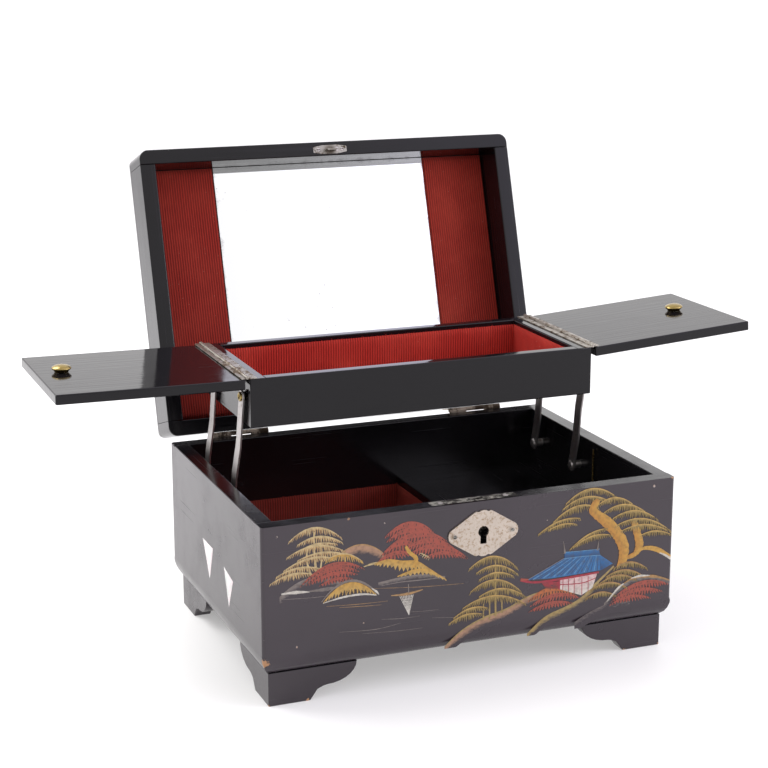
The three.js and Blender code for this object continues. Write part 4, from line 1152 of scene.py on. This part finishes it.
# Two shell triangles inlaid in the left side, point down: back from the origin and up, in millimetres.
SHELL = shell("shell")
SHELL_CORNERS = (
    ((-21, 67.2), (-42.6, 66.9), (-34.4, 44.8)),
    ((-65.5, 62.9), (-83.4, 59.6), (-74.1, 40.5)),
)
left_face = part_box("base_left")[0].x
for k, corners in enumerate(SHELL_CORNERS):
    outline = []
    for (y0, z0), (y1, z1) in zip(corners, corners[1:] + corners[:1]):
        for step in range(6):
            t = step / 6
            wobble = noise.noise(Vector((y0 + t * 9, z0, k))) * 0.25
            outline.append(((y0 + (y1 - y0) * t + wobble) * MM, (z0 + (z1 - z0) * t + wobble) * MM))
    middle_y, middle_z = (sum(p[n] for p in outline) / len(outline) for n in (0, 1))
    points = [(left_face, y, z) for y, z in outline]
    for y, z in outline:
        inset = (middle_y + (y - middle_y) * 0.97, middle_z + (z - middle_z) * 0.97)
        points.append((left_face - 0.12 * MM, *inset))
    points.append((left_face - 0.15 * MM, middle_y, middle_z))
    count = len(outline)
    faces = []
    for i in range(count):
        j = (i + 1) % count
        faces += [(i, j, count + j, count + i), (count + i, count + j, 2 * count)]
    finished(new_piece(f"shell_inlay_{k + 1}", points, faces), SHELL, "base", "lacquer")


# ---------- studio ----------
FLOOR_GLOW = 0.36
ABOVE_LEVEL, BEHIND_LEVEL, DIM_LEVEL, PANEL_LEVEL = 1.02, 1.32, 0.30, 1.9


def floor_material():
    """A pale floor that glows a little, so shadows on it stay faint."""
    s = Shader("studio_floor")
    mottle = s.grain(0.4, 3)
    s.set(Base_Color=s.mix(mottle, (0.55, 0.55, 0.55), (0.58, 0.575, 0.57)), Roughness=0.55)
    s.set(Emission_Color=(1.0, 0.985, 0.98, 1), Emission_Strength=FLOOR_GLOW)
    s.set(Normal=s.bump(s.grain(0.002, 3), 0.00004))
    return s.material


FLOOR_HALF = 14.0
floor = new_piece(
    "studio_floor",
    [(x * FLOOR_HALF, y * FLOOR_HALF, 0) for x, y in ((-1, -1), (1, -1), (1, 1), (-1, 1))],
    [(0, 1, 2, 3)],
    smooth=False,
)
floor.data.materials.append(floor_material())

# The room: bright behind and above, a bluish panel to the right of the front, dim towards the left
# of the front. Turn is a direction's angle from straight ahead of the box, growing to its right.
world = bpy.data.worlds.new("studio")
world.use_nodes = True
bpy.context.scene.world = world
room = Graph(world.node_tree)
x, y, z = room.parts(room.node("TexCoord").outputs["Generated"])
turn = room.calc("ARCTAN2", x, room.calc("MULTIPLY", y, -1.0))
panel = room.calc(
    "MULTIPLY",
    room.ease(turn, math.radians(16), math.radians(30)),
    room.ease(turn, math.radians(120), math.radians(80)),
)
above = room.calc("MULTIPLY", room.ease(z, 0.0, 0.2), ABOVE_LEVEL)
behind = room.calc("MULTIPLY", room.ease(y, -0.2, 0.6), BEHIND_LEVEL)
level = room.calc("MAXIMUM", room.calc("MAXIMUM", above, behind), DIM_LEVEL)
level = room.mix(panel, level, PANEL_LEVEL)
backdrop = world.node_tree.nodes["Background"]
room.put(backdrop.inputs["Color"], room.mix(panel, (1.0, 0.985, 0.99), (0.88, 0.85, 1.0)))
room.put(backdrop.inputs["Strength"], level)


def soft_light(name, place, aim, size, power):
    data = bpy.data.lights.new(name, "AREA")
    data.shape, data.size, data.energy = "SQUARE", size, power
    light = bpy.data.objects.new(name, data)
    light.location = place
    light.rotation_euler = (Vector(aim) - Vector(place)).to_track_quat("-Z", "Y").to_euler()
    light.visible_camera = False
    bpy.context.scene.collection.objects.link(light)


soft_light("back_left_light", (-0.8, 0.6, 1.1), (-0.3, 0.3, 0), 0.9, 18)
soft_light("front_right_light", (1.0, -0.7, 0.5), (0.62, -0.5, 0), 0.4, 4)

CAMERA_AZIMUTH, CAMERA_ELEVATION = math.radians(-21.72), math.radians(14.17)
CAMERA_TARGET = Vector((-0.02091, -0.0445, 0.16066))
CAMERA_DISTANCE = 1.1449
back = Vector(
    (
        math.sin(CAMERA_AZIMUTH) * math.cos(CAMERA_ELEVATION),
        -math.cos(CAMERA_AZIMUTH) * math.cos(CAMERA_ELEVATION),
        math.sin(CAMERA_ELEVATION),
    )
)
camera_data = bpy.data.cameras.new("camera")
camera_data.sensor_width, camera_data.lens = 36.0, 86.8
camera = bpy.data.objects.new("camera", camera_data)
camera.location = CAMERA_TARGET + back * CAMERA_DISTANCE
camera.rotation_euler = back.to_track_quat("Z", "Y").to_euler()
bpy.context.scene.collection.objects.link(camera)
bpy.context.scene.camera = camera

bpy.context.scene.view_settings.view_transform = "Standard"
